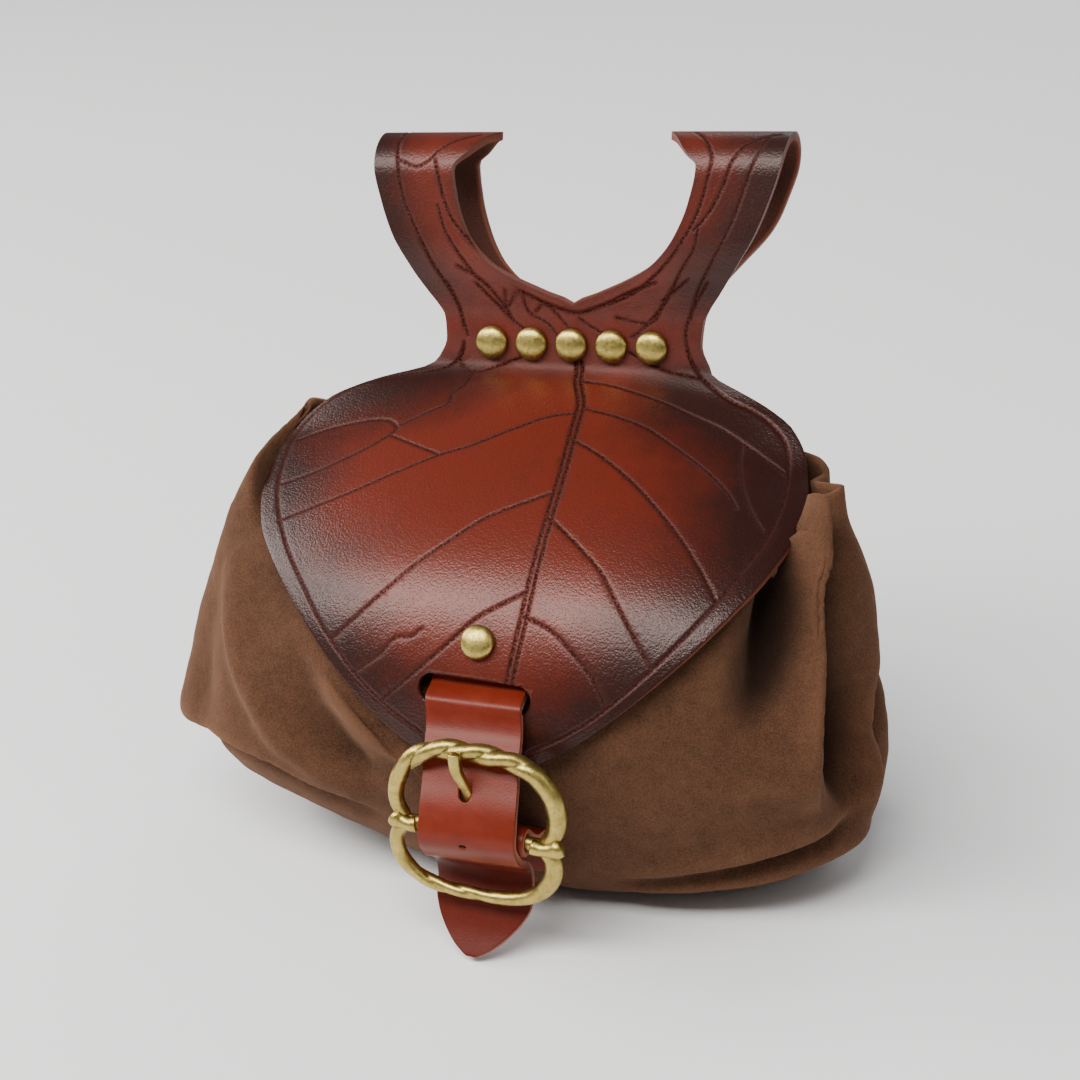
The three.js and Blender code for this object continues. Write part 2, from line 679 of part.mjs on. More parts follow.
// The buckle lies in its own plane: x across, rise up from the centre bar, out towards the viewer.
const BUCKLE_X = strapMiddle(CENTRE_BAR.z);
const UPPER_RISE = Math.hypot(UPPER_BAR.y - CENTRE_BAR.y, UPPER_BAR.z - CENTRE_BAR.z);
const LOWER_DROP = Math.hypot(LOWER_BAR.y - CENTRE_BAR.y, LOWER_BAR.z - CENTRE_BAR.z);

function buckleAt(x, rise, out = 0) {
  const end = rise >= 0 ? UPPER_BAR : LOWER_BAR;
  const reach = rise >= 0 ? UPPER_RISE : -LOWER_DROP;
  const along = [(end.y - CENTRE_BAR.y) / reach, (end.z - CENTRE_BAR.z) / reach];
  const turned = rise + x * Math.sin(rad(STRAP_TURN));
  const shifted = x - rise * Math.sin(rad(STRAP_TURN));
  return new THREE.Vector3(
    BUCKLE_X + shifted,
    CENTRE_BAR.y + turned * along[0] - out * along[1],
    CENTRE_BAR.z + turned * along[1] + out * along[0],
  );
}

const HOOP_HALF = 21; // half width of the hoops, to the middle of their wire
const EAR_X = 18.4;
const EAR = { across: 3.4, deep: 3, high: 3.4 };
// Half of a hoop, from an ear to its top: shares of its rise and half width.
const HOOP_SHAPE = [
  { rise: 0, x: EAR_X / HOOP_HALF },
  { rise: 0.16, x: 0.97 },
  { rise: 0.36, x: 1 },
  { rise: 0.6, x: 0.94 },
  { rise: 0.82, x: 0.77 },
  { rise: 0.96, x: 0.48 },
  { rise: 1, x: 0 },
];

// One lobe of the buckle as an arch between the two ears.
function hoop(reach, half, radius) {
  const left = HOOP_SHAPE.map(({ rise, x }) => buckleAt(-half * x, reach * rise));
  const right = HOOP_SHAPE.slice(0, -1).map(({ rise, x }) => buckleAt(half * x, reach * rise)).reverse();
  const curve = new THREE.CatmullRomCurve3([...left, ...right], false, 'centripetal');
  const points = curve.getSpacedPoints(36);
  return barAlong(points, points.map(() => radius), 10);
}

function buckleFrame() {
  const ears = [-1, 1].map((side) => {
    const ear = new THREE.SphereGeometry(1, 14, 10);
    ear.scale(EAR.across, EAR.deep, EAR.high);
    ear.translate(...buckleAt(side * EAR_X, 0).toArray());
    return ear;
  });
  const centreBar = barAlong([buckleAt(-EAR_X, 0), buckleAt(0, 0), buckleAt(EAR_X, 0)], [BAR_R, BAR_R, BAR_R], 12);
  return joined([hoop(UPPER_RISE, HOOP_HALF, HOOP_R), hoop(-LOWER_DROP, HOOP_HALF - 0.4, LOWER_R), centreBar, ...ears]);
}

// The prong turns round the centre bar, rises behind the strap, comes out through its hole
// and rests on the upper hoop.
const PRONG_X = -1.5;
const PRONG_LINE = [
  { rise: 0, out: -BAR_R - GAP - PRONG_R, lean: 0 },
  { rise: 2.6, out: -2.2, lean: 0 },
  { rise: 4.6, out: 0, lean: 0 },
  { rise: 9, out: 1.4, lean: 0 },
  { rise: 14, out: 3, lean: -0.9 },
  { rise: 18, out: 3.9, lean: -2.2 },
  { rise: UPPER_RISE + 0.4, out: HOOP_R + GAP + PRONG_R + 0.1, lean: -2.9 },
  { rise: UPPER_RISE + 2.2, out: 3.3, lean: -3 },
];

function prongBar(grow) {
  const curve = new THREE.CatmullRomCurve3(
    PRONG_LINE.map(({ rise, out, lean }) => buckleAt(PRONG_X + lean, rise, out)), false, 'centripetal',
  );
  const points = curve.getSpacedPoints(22);
  return barAlong(points, points.map(() => PRONG_R + grow), 10);
}

function prongRing(grow) {
  const points = [];
  const radius = BAR_R + GAP + PRONG_R;
  for (let i = 0; i <= 20; i += 1) {
    const a = rad(lerp(100 - 24 * grow, 430 + 24 * grow, i / 20));
    points.push(buckleAt(PRONG_X, radius * Math.sin(a), radius * Math.cos(a)));
  }
  return barAlong(points, points.map(() => PRONG_R + grow), 10);
}

// ---------------------------------------------------------------- strap that holds the buckle
// It folds round the centre bar and both its layers run down to the front of the pouch.
const CHAPE_HALF = 13.6;
const CHAPE_TOP = 30; // where its layers reach the pouch
const CHAPE_FOOT = 17; // and where they end on it

function chapePath() {
  const apart = CHAPE_LEATHER + GAP / 2; // from the middle between the layers to a layer's outer face
  const front = (z) => column(POUCH_RINGS, 'z', 'front', z);
  const middle = [];
  for (let z = CHAPE_FOOT; z <= CHAPE_TOP; z += 3.25) {
    const slope = (front(z + 1) - front(z - 1)) / 2;
    const length = Math.hypot(1, slope);
    middle.push([front(z) - (apart + GAP + 0.8) / length, z - ((apart + GAP) * slope) / length]);
  }
  const last = middle[middle.length - 1];
  const ring = BAR_R + GAP + CHAPE_LEATHER;
  middle.push([lerp(last[0], CENTRE_BAR.y, 0.45), lerp(last[1], CENTRE_BAR.z, 0.38)]);
  const way = [CENTRE_BAR.y - middle[middle.length - 1][0], CENTRE_BAR.z - middle[middle.length - 1][1]];
  const heading = Math.atan2(way[1], way[0]);
  const tangentAt = (i) => {
    const a = middle[Math.max(0, i - 1)];
    const b = i + 1 < middle.length ? middle[i + 1] : [CENTRE_BAR.y, CENTRE_BAR.z];
    const length = Math.hypot(b[0] - a[0], b[1] - a[1]);
    return [(b[0] - a[0]) / length, (b[1] - a[1]) / length];
  };
  const outer = middle.map(([y, z], i) => [y - apart * tangentAt(i)[1], z + apart * tangentAt(i)[0]]);
  const inner = middle.map(([y, z], i) => [y + apart * tangentAt(i)[1], z - apart * tangentAt(i)[0]]);
  const around = [];
  for (let i = 0; i <= 12; i += 1) {
    const a = heading + rad(110) - rad(220) * (i / 12);
    around.push([CENTRE_BAR.y + ring * Math.cos(a), CENTRE_BAR.z + ring * Math.sin(a)]);
  }
  return { outer, around, inner: inner.reverse() };
}

function chapeSurface() {
  const { outer, around, inner } = chapePath();
  const path = [...outer, ...around, ...inner];
  const surface = newSurface();
  const columns = 2;
  addGrid(surface, path.length - 1, columns, (i, j) => {
    const x = CHAPE_HALF * ((2 * j) / columns - 1);
    const [y, z] = path[i];
    const skew = x * Math.sin(rad(STRAP_TURN)) * smooth((z - CENTRE_BAR.z + 7) / 3);
    return new THREE.Vector3(BUCKLE_X + x, y, z + skew);
  });
  return surface;
}

const group = new THREE.Group();
function addPiece(name, geometry, color, roughness, metalness) {
  const material = new THREE.MeshStandardMaterial({ color, roughness, metalness });
  const mesh = new THREE.Mesh(geometry, material);
  mesh.name = name;
  group.add(mesh);
}

const RED_LEATHER = 0x6e2a1c;
const STRAP_RED = 0x8b3a28;
const SUEDE_BROWN = 0x5a3b28;
const BRASS = 0xb09a58;

// ---------------------------------------------------------------- the pieces
const flapRivetPlace = { u: STRAP_X - FLAP_SHIFT - TIP_SHIFT, v: FLAP_RIVET_V };
const yokeHoles = yokeRivetPlaces.map((place) => shankHole(place));
const prong = joined([prongBar(0), prongRing(0)]);
const prongRoom = joined([prongBar(0.5), prongRing(0.5)]);

function slotTool() {
  const half = SLOT_W / 2 - SLOT_H / 2;
  const shape = new THREE.Shape();
  shape.absarc(half, 0, SLOT_H / 2, -Math.PI / 2, Math.PI / 2, false);
  shape.absarc(-half, 0, SLOT_H / 2, Math.PI / 2, (3 * Math.PI) / 2, false);
  const tool = new THREE.ExtrudeGeometry(shape, { depth: 14, bevelEnabled: false, curveSegments: 8 });
  tool.translate(0, 0, -7);
  tool.rotateX(-Math.PI / 2);
  const u = STRAP_X - FLAP_SHIFT - TIP_SHIFT;
  return placeOn(tool, leatherPoint(u, SLOT_V), leatherAxes(u, SLOT_V));
}

// The empty hole below the one in use.
function spareHole() {
  const hole = new THREE.CylinderGeometry(HOLE_R, HOLE_R, 8, 12);
  hole.rotateX(Math.PI / 2);
  hole.translate(BUCKLE_X + PRONG_X, CENTRE_BAR.y - 6, CENTRE_BAR.z - 0.5);
  return hole;
}

addPiece('flap_and_loops', cut(leatherPiece(), [...yokeHoles, shankHole(flapRivetPlace), slotTool()]), RED_LEATHER, 0.45, 0);
addPiece('pouch', cut(thicken(pouchSurface(), SUEDE), yokeHoles), SUEDE_BROWN, 0.95, 0);
yokeRivetPlaces.forEach((place, i) => {
  addPiece(`yoke_rivet_${i + 1}`, rivetAt(place, i === 2 ? LEATHER + SUEDE + 1.5 * GAP : SANDWICH), BRASS, 0.35, 1);
});
addPiece('flap_rivet', rivetAt(flapRivetPlace, LEATHER + STRAP_LEATHER + 3 * GAP), BRASS, 0.35, 1);
addPiece('closing_strap', cut(thicken(strapSurface(), STRAP_LEATHER), [shankHole(flapRivetPlace, 7), prongRoom, spareHole()]), STRAP_RED, 0.45, 0);
addPiece('buckle_frame', buckleFrame(), BRASS, 0.35, 1);
addPiece('buckle_prong', prong, BRASS, 0.35, 1);
addPiece('buckle_strap', cut(thicken(chapeSurface(), CHAPE_LEATHER), [prongRoom]), STRAP_RED, 0.45, 0);

export default group;
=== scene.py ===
# %% [markdown]
# # A leather and suede waist bag
# A soft suede pouch hangs under a round leather flap. The flap, the yoke with its row of rivets and
# the two belt loops are one piece of tooled leather, and a strap with a double buckle closes it.
# Everything rests in one frame: metres, +Z up, the front towards -Y, the pouch's bottom at z = 0.

# %% Load the frame
import math
import bmesh
import bpy
import numpy as np
from mathutils import Matrix, Vector, noise
from mathutils.kdtree import KDTree


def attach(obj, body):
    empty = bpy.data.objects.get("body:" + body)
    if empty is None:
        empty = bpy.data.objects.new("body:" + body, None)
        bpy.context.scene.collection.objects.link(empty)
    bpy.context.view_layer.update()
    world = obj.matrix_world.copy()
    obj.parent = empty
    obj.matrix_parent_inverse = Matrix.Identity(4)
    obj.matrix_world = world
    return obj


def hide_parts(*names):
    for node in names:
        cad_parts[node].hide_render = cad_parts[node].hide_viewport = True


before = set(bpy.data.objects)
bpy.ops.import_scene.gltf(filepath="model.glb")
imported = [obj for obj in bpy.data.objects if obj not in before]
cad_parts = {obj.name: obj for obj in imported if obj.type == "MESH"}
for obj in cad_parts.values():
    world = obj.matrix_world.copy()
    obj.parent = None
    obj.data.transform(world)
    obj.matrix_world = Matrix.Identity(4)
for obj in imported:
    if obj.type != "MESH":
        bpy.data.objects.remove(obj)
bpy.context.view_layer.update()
MM = 0.001  # the tables below are in millimetres
print("nodes:", sorted(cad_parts))

# %% [markdown]
# The camera comes first, because every later choice is judged through it. It stands a little to the
# right of the bag and looks down on it, far enough away that the loops and the pouch look alike in size.

# %% Camera
CAMERA_AZIMUTH = 20  # degrees towards +X
CAMERA_HEIGHT = 25  # degrees above the horizon
CAMERA_ROLL = -3
CAMERA_AWAY = 0.77  # metres from the place that it looks at
AIM = Vector((0.002, 0.0015, 0.0883))
azimuth, height = math.radians(CAMERA_AZIMUTH), math.radians(CAMERA_HEIGHT)
level = math.cos(height)
towards = Vector((-math.sin(azimuth) * level, math.cos(azimuth) * level, -math.sin(height)))
camera_data = bpy.data.cameras.new("camera")
camera_data.sensor_width = 36
camera_data.lens = 100
camera_data.clip_start = 0.01
camera = bpy.data.objects.new("camera", camera_data)
bpy.context.scene.collection.objects.link(camera)
camera.rotation_mode = "QUATERNION"
roll = Matrix.Rotation(math.radians(CAMERA_ROLL), 3, "Z").to_quaternion()
camera.rotation_quaternion = towards.to_track_quat("-Z", "Y") @ roll
camera.location = AIM - towards * CAMERA_AWAY
bpy.context.scene.camera = camera
print("camera at", [round(x, 3) for x in camera.location])

# %% [markdown]
# Many shapes here are read from short tables: a key such as the distance down the flap, and a value
# such as its half width. A smooth curve through the rows gives every value in between, and it never
# overshoots a row, so that an outline has no bumps which the table doesn't hold.

# %% Smooth curves through tables
def along(table, key, name):
    """A function that reads one column of a table, smoothly between its rows, for arrays of places."""
    xs = np.array([row[key] for row in table], float)
    ys = np.array([row[name] for row in table], float)
    steps, rises = np.diff(xs), np.diff(ys)
    slopes = rises / steps
    at_rows = np.zeros(len(xs))
    same_way = slopes[:-1] * slopes[1:] > 0
    total = slopes[:-1] + slopes[1:]
    at_rows[1:-1][same_way] = (2 * slopes[:-1] * slopes[1:])[same_way] / total[same_way]
    at_rows[0], at_rows[-1] = slopes[0], slopes[-1]

    def read(at):
        at = np.clip(np.asarray(at, float), xs[0], xs[-1])
        i = np.clip(np.searchsorted(xs, at, side="right") - 1, 0, len(xs) - 2)
        t = (at - xs[i]) / steps[i]
        first, second = at_rows[i] * steps[i], at_rows[i + 1] * steps[i]
        return (ys[i] * (2 * t**3 - 3 * t**2 + 1) + first * (t**3 - 2 * t**2 + t)
                + ys[i + 1] * (3 * t**2 - 2 * t**3) + second * (t**3 - t**2))

    return read


def rows(names, values):
    """A table from a line of column names and its rows of numbers."""
    return [dict(zip(names.split(), row)) for row in values]


def curve(names, values):
    """The smooth curve of a table with two columns, such as "v half"."""
    key, name = names.split()
    return along(rows(names, values), key, name)


def smooth(x):
    """Rises from 0 to 1 without corners; smooth((v - a) / b) starts at v = a and takes b to get there."""
    x = np.clip(x, 0, 1)
    return x * x * (3 - 2 * x)


def mix(a, b, t):
    return a + (b - a) * t


def unit(vectors):
    """The same directions, each 1 long."""
    return vectors / np.linalg.norm(vectors, axis=-1, keepdims=True)


print("half-way along a curve from 0 to 1:", float(curve("x y", [(0, 0), (1, 1)])(0.5)))

# %% [markdown]
# ## The leather, from flat to bent
# A leatherworker cuts this piece flat, tools it flat and only then bends it, and the same order is
# used here. Flat places are (u, v): u across, v down from the crease under the yoke, negative above
# it. One function bends a flat place to where it is in the bag, and lift is the height off the grain side.

# %% Sizes of the leather
LEATHER = 2.2  # thickness
SUEDE = 1.8  # thickness
GAP = 0.3  # between two pieces that lie on each other
CREASE = (38, 122)  # y and z of the crease
YOKE_LEAN, LOOP_LEAN = math.radians(12), math.radians(18)
CLAMP = 10.5  # up the yoke, from the crease to where the loops open
LOOP_R = 11.2  # radius of the fold at the top of a loop
LOOP_REACH = 39  # from the clamp up to the middle of that fold
SANDWICH = LEATHER + SUEDE + LEATHER + 3 * GAP
NOTCH = 16  # the two horns part this far above the crease
FLAP_END = 122  # from the crease down to the flap's tip
TURN_TOP, TURN_TIP = 3.2, -3  # degrees by which the horns and the tip are turned
FLAP_SHIFT, TIP_SHIFT = -2.4, 1.2  # to the side: of the whole flap, and of its tip
DRAPE_R = 260  # the flap also curves from side to side, with this radius
flap_dip = curve("v dip", [
    (0, 48), (3, 22), (8, 17), (40, 24), (62, 32), (80, 48), (94, 62), (108, 74), (126, 84)])
flap_half = curve("v half", [
    (0, 37.5), (2, 40.5), (4, 45), (6.5, 51), (9, 56.5), (13, 63.5), (20, 69.5), (32, 72.9), (44, 72.6),
    (58, 69), (72, 62), (84, 54), (96, 44), (106, 34), (114, 24), (119, 15.5), (122, 6)])
loop_half = curve("rise half", [
    (0, SANDWICH / 2), (2, SANDWICH / 2 + 0.3), (7, 5.8), (14, 8.6), (24, 10.6), (LOOP_REACH, LOOP_R)])
print("the clamped leather and suede are", round(SANDWICH, 1), "mm thick")

# %% [markdown]
# Seen from the side, the flap is a line that dips more and more towards its tip, and a loop is a line
# that goes up in front, over its fold and down behind. Both are worked out as points along the leather.

# %% The side profile of the flap and of the loops
STEP = 0.5
flap_v = np.arange(0, 130.1, STEP)
dips = np.radians(flap_dip(flap_v))
flap_y = CREASE[0] - np.concatenate([[0], np.cumsum(STEP * np.cos(dips[:-1]))])
flap_z = CREASE[1] - np.concatenate([[0], np.cumsum(STEP * np.sin(dips[:-1]))])


def loop_path():
    """y and z from the crease up the front of a loop, over its fold and down its back leaf."""
    clamp = (CREASE[0] + CLAMP * math.sin(YOKE_LEAN), CREASE[1] + CLAMP * math.cos(YOKE_LEAN))
    middle = (clamp[0] + SANDWICH / 2 * math.cos(YOKE_LEAN), clamp[1] - SANDWICH / 2 * math.sin(YOKE_LEAN))

    def at(rise, back):
        return (middle[0] + rise * math.sin(LOOP_LEAN) + back * math.cos(LOOP_LEAN),
                middle[1] + rise * math.cos(LOOP_LEAN) - back * math.sin(LOOP_LEAN))

    rises = range(LOOP_REACH)
    turns = [math.radians(a) for a in range(0, 181, 6)]
    path = [CREASE]
    path += [at(rise, -float(loop_half(rise))) for rise in rises]
    path += [at(LOOP_REACH + LOOP_R * math.sin(a), -LOOP_R * math.cos(a)) for a in turns]
    path += [at(rise, float(loop_half(rise))) for rise in reversed(rises)]
    path += [(CREASE[0] + SANDWICH * math.cos(YOKE_LEAN), CREASE[1] - SANDWICH * math.sin(YOKE_LEAN))]
    return np.array(path)


loop_yz = loop_path()
loop_w = np.concatenate([[0], np.cumsum(np.linalg.norm(np.diff(loop_yz, axis=0), axis=1))])
LOOP_LENGTH = float(loop_w[-1])
APEX = LOOP_LENGTH / 2
print("a loop takes", round(LOOP_LENGTH, 1), "mm of leather from the crease to its end")


def on_loop(w):
    return np.stack([np.interp(w, loop_w, loop_yz[:, 0]), np.interp(w, loop_w, loop_yz[:, 1])], -1)


# %% [markdown]
# The bending function reads y and z from those lines. It also drapes the flap over the bag from side to
# side, and turns and shifts it a little, because nobody sews or wears a bag quite straight.

# %% Bending the flat leather
def leather_point(u, v, lift=0.0):
    """Where a flat place (u, v) of the leather lies in the bag, in millimetres."""
    u, v = np.asarray(u, float), np.asarray(v, float)
    on_flap = v >= 0
    dip = np.radians(flap_dip(np.maximum(v, 0)))
    flap_place = np.stack([np.interp(v, flap_v, flap_y), np.interp(v, flap_v, flap_z)], -1)
    flap_up = np.stack([np.cos(dip), np.sin(dip)], -1)
    w = np.clip(-v, 0, LOOP_LENGTH)
    ahead, behind = on_loop(np.minimum(w + 0.8, LOOP_LENGTH)), on_loop(np.maximum(w - 0.8, 0))
    loop_up = unit(ahead - behind)
    place = np.where(on_flap[..., None], flap_place, on_loop(w))
    up = np.where(on_flap[..., None], flap_up, loop_up)
    out = np.stack([-up[..., 1], up[..., 0]], -1)
    turn = np.radians(mix(TURN_TIP, TURN_TOP, np.clip((FLAP_END - v) / (FLAP_END + 30), 0, 1)))
    yoke_axis = np.array([math.sin(YOKE_LEAN), math.cos(YOKE_LEAN)])
    way = mix(yoke_axis, up, smooth(v / 9)[..., None])
    radius = DRAPE_R / np.maximum(0.02, smooth((v + 4) / 30))
    x = radius * np.sin(u / radius)
    drop = radius * (1 - np.cos(u / radius)) - lift
    skew = x * np.sin(turn)
    shift = FLAP_SHIFT * smooth((v + 2) / 30) + TIP_SHIFT * smooth((v - 55) / 35)
    return np.stack([shift + x * np.cos(turn),
                     place[..., 0] + skew * way[..., 0] - drop * out[..., 0],
                     place[..., 1] + skew * way[..., 1] - drop * out[..., 1]], -1)


print("the flap's tip lies at", [round(float(x), 1) for x in leather_point(0, FLAP_END)])

# %% [markdown]
# Each row of the next table is a distance w up a horn, with its outer and inner edge in front of the
# fold and its inner edge behind it. The horns meet below the notch in front, but their back leaves never
# meet: they end bluntly, one on each side of the middle.

# %% Outline of a horn
BACK_NARROWER = 3.4  # the outer edge of a back leaf draws in by this much towards its end
horn_rows = rows("w outer inner behind", [
    (0, 37.5, 0, 6.3), (6, 35, 0, 6.5), (12, 35.5, 0, 8.5), (NOTCH, 37.5, 0, 12), (19, 39.5, 6.5, 15.2),
    (23, 42, 15, 19.8), (28, 45, 22.5, 24.6), (35, 49, 28, 28.6), (44, 52.5, 31.5, 31.6), (53, 55, 33, 33),
    (58, 55.5, 29, 29), (APEX - 3, 55.8, 24.6, 24.6), (APEX - 1, 56, 23.3, 23.3), (APEX, 56, 23.1, 23.1)])
horn_outer = along(horn_rows, "w", "outer")
horn_inner = along(horn_rows, "w", "inner")
horn_behind = along(horn_rows, "w", "behind")


def horn_edges(w):
    mirrored = np.where(w <= APEX, w, LOOP_LENGTH - w)
    behind = w > APEX
    inner = np.where(behind, horn_behind(mirrored), horn_inner(mirrored))
    return horn_outer(mirrored) - BACK_NARROWER * behind * smooth((40 - mirrored) / 20), inner


print("a horn is", round(float(horn_outer(APEX) - horn_inner(APEX)), 1), "mm wide at its fold")

# %% [markdown]
# ### Tooled lines
# The pattern is a leaf: a midrib, side veins and a border that follows the edge, with smaller veins on
# the yoke and the horns. Each line has its depth, as a share of the full depth, and a few flat places in
# millimetres that a smooth curve joins. The midrib is a pair of grooves, so it is kept on its own.

# %% The tooled pattern
TOOLED = [
    # the border of the flap, left and right
    (1.0, [(-30, -5), (-31, -1), (-36, 3), (-47, 6), (-54, 8), (-61, 12), (-66, 17), (-69, 23), (-69.5, 32),
           (-68.5, 42), (-66, 51), (-62, 60), (-57, 70), (-51, 80), (-45, 89), (-39, 96), (-32, 103),
           (-24, 109), (-13, 115)]),
    (1.0, [(15, 115.5), (25, 109.5), (34, 102), (44, 91), (52, 80), (58, 70), (62.5, 60), (66, 50),
           (67.5, 40), (67.5, 31), (66, 23), (63, 17), (58, 13), (52, 10), (45, 7.5), (39, 4), (34, 0),
           (31.5, -5)]),
    # veins on the left
    (0.8, [(-26, 3), (-26, 8), (-28, 12), (-28, 16), (-33, 20), (-38, 24)]),
    (0.9, [(-68, 27), (-60, 24), (-50, 22), (-43, 22), (-39, 25), (-40, 28), (-45, 33), (-52, 38), (-59, 42),
           (-67, 45)]),
    (0.8, [(-40, 28), (-32, 32), (-23, 36)]),
    (0.9, [(8, 18), (2, 20), (-5, 25), (-15, 32), (-23, 36), (-34, 43), (-45, 50), (-63, 59)]),
    (1.0, [(11, 46), (5, 50), (-4, 56), (-12, 64), (-19, 71), (-26, 79), (-33, 87), (-40, 95)]),
    (0.8, [(-15, 88.5), (-18, 91), (-22, 92), (-26, 97), (-32, 102)]),
    (1.0, [(10, 76), (5, 79.5), (-1, 84), (-7, 90.5), (-14, 98), (-24, 108)]),
    # veins on the right
    (0.8, [(4, 5), (13, 6), (22, 8.5), (30, 11), (38, 14), (46, 16.5), (54, 20), (67, 26)]),
    (0.9, [(10, 16), (18, 17.5), (27, 20), (34, 23.5), (41, 27.5), (48, 32), (54, 37), (57, 41)]),
    (1.0, [(11, 28), (19, 32), (28, 38), (36, 44.5), (44, 52), (50, 58.5), (55, 65), (58, 70)]),
    (1.0, [(12, 54), (20, 60), (28, 67), (33, 74), (37, 80), (44, 90)]),
    (1.0, [(11, 82), (18, 84.5), (24, 89), (30, 95), (34, 102)]),
    (0.6, [(53, 20), (54, 25), (55.5, 30), (58, 36), (61, 41), (65, 46)]),
    # the yoke
    (0.9, [(-14, -20), (-7, -16.5), (1, -14), (8, -16), (16, -20), (23, -23)]),
    (0.7, [(-34, -22), (-32, -17), (-30.5, -12), (-29, -7)]),
    (0.7, [(-30, -5), (-31, 0), (-26, 3.5), (-20, 1), (-13, -2)]),
    (0.7, [(-26, -22), (-22, -17.5), (-17, -12), (-13, -9)]),
    (0.6, [(-18, -20), (-18, -15), (-14, -20), (-12, -14), (-7, -11), (-4, -8)]),
    (0.6, [(-1, -10), (-7, -16), (-10, -14)]),
    (0.7, [(2, -12.5), (5, -10.5), (8, -9)]),
    (0.7, [(12, -13), (17, -12), (22, -12), (25, -17), (28, -22)]),
    (0.6, [(22, -12), (16, -8)]),
    (0.7, [(25, -18), (32, -24)]),
    (0.8, [(37, -23), (33, -16), (31, -10), (32, -4), (35, 1)]),
    (0.7, [(16, -4), (25, 0), (36, 2)]),
    # the left horn
    (0.9, [(-49.5, -72), (-49.5, -62), (-48, -52), (-46, -44), (-42, -36), (-38, -28), (-34, -21),
           (-31.5, -15), (-30, -9)]),
    (0.7, [(-48, -55), (-43, -53), (-39.5, -55), (-37.5, -58), (-34, -61), (-28, -64)]),
    (0.9, [(-38, -55), (-36.5, -50), (-35, -45), (-32, -39), (-26.5, -33), (-20, -28)]),
    (0.7, [(-36.5, -43), (-34.5, -37), (-31.5, -32), (-28, -27), (-25, -23)]),
    (0.7, [(-31, -27), (-25, -23.5), (-20, -17.5), (-16, -11)]),
    # the right horn
    (0.8, [(30, -66), (35, -60), (37, -55), (36, -48), (34, -41), (31, -35), (26, -28), (18, -20.5),
           (10, -16.5)]),
    (0.8, [(53, -64), (46, -60), (43, -56), (40.5, -48), (37, -41), (33.5, -37)]),
    (0.7, [(51, -64), (48, -54), (46, -47), (43, -38), (39, -30), (34.5, -21), (32, -13)]),
    (0.7, [(34.5, -37), (33.5, -32), (30, -26), (26, -18), (21, -12), (17, -8)]),
]
MIDRIB = [(2, -1), (4, 6), (8, 14), (10, 23), (11, 32), (11.7, 42), (12, 53), (12, 64), (11.4, 76),
          (10.8, 84), (10, 92), (9.2, 100)]
MIDRIB_APART, MIDRIB_DEPTH = 0.75, 1.1  # half the distance between its two grooves, and their depth
LINE_STEP = 0.2


def curve_through(places):
    """Flat points every LINE_STEP along a smooth curve through the places."""
    p = np.array(places, float)
    p = np.vstack([2 * p[0] - p[1], p, 2 * p[-1] - p[-2]])
    found = []
    for a, b, c, d in zip(p[:-3], p[1:-2], p[2:-1], p[3:]):
        t = np.linspace(0, 1, max(2, int(np.linalg.norm(c - b) / LINE_STEP)), endpoint=False)[:, None]
        found.append(0.5 * (2 * b + (c - a) * t + (2 * a - 5 * b + 4 * c - d) * t**2
                            + (3 * b - a - 3 * c + d) * t**3))
    return np.vstack(found + [p[-2:-1]])


def tree_of(places):
    """A search tree, which finds the nearest of many places quickly; only their first two numbers count."""
    tree = KDTree(len(places))
    for i, place in enumerate(places):
        tree.insert((place[0], place[1], 0), i)
    tree.balance()
    return tree


def line_tree():
    """All tooled points in one search tree, with the depth share of each."""
    lines = [(depth, curve_through(places)) for depth, places in TOOLED]
    rib = curve_through(MIDRIB)
    way = unit(np.gradient(rib, axis=0))
    side = np.stack([-way[:, 1], way[:, 0]], -1)
    lines += [(MIDRIB_DEPTH, rib + side * apart) for apart in (MIDRIB_APART, -MIDRIB_APART)]
    depths = np.concatenate([np.full(len(line), depth) for depth, line in lines])
    return tree_of(np.vstack([line for _, line in lines])), depths


tool_tree, tool_depths = line_tree()
print(len(tool_depths), "points on the tooled lines")

# %% [markdown]
# The flat piece starts as three grids: one for the flap and the yoke, and one for each horn. Every grid
# is moved to its outline row by row. A helper for it is made first, because the straps, the bag and the
# brass are grids as well, each moved by a place function of its own.

# %% Grids of flat leather
CELL = 1.5  # millimetres from row to row
HALF_COLUMNS = 44


def grid(bm, columns, lines, place):
    """A grid whose corners run 0 to 1 both ways, moved to the flat places that place(s, t) gives."""
    made = bmesh.ops.create_grid(bm, x_segments=columns, y_segments=lines, size=1)["verts"]
    s = np.array([vert.co.x for vert in made]) / 2 + 0.5
    t = np.array([vert.co.y for vert in made]) / 2 + 0.5
    for vert, spot in zip(made, place(s, t)):
        vert.co = spot


def flat_layer(u, v):
    return np.stack([u, v, np.zeros_like(u)], -1)


def front_place(s, t):
    v = mix(-NOTCH, FLAP_END, t)
    half = np.where(v >= 0, flap_half(v), horn_outer(-v))
    return flat_layer((2 * s - 1) * half, v)


def horn_place(side):
    def place(s, t):
        w = mix(NOTCH, LOOP_LENGTH, t)
        outer, inner = horn_edges(w)
        return flat_layer(side * mix(inner, outer, s), -w)

    return place


def leather_grids(bm):
    grid(bm, 2 * HALF_COLUMNS, int((NOTCH + FLAP_END) / CELL), front_place)
    for side in (-1, 1):
        grid(bm, HALF_COLUMNS, int((LOOP_LENGTH - NOTCH) / CELL), horn_place(side))


print("columns from the middle to an edge:", HALF_COLUMNS, "- rows of the flap:", int(FLAP_END / CELL))

# %% [markdown]
# The grids are merged where they meet and extruded down into a slab. Its cut edges are rounded with a
# bevel, which finds them as the edges between a flat face and the side wall.

# %% Flat leather with its thickness
WELD = 0.02


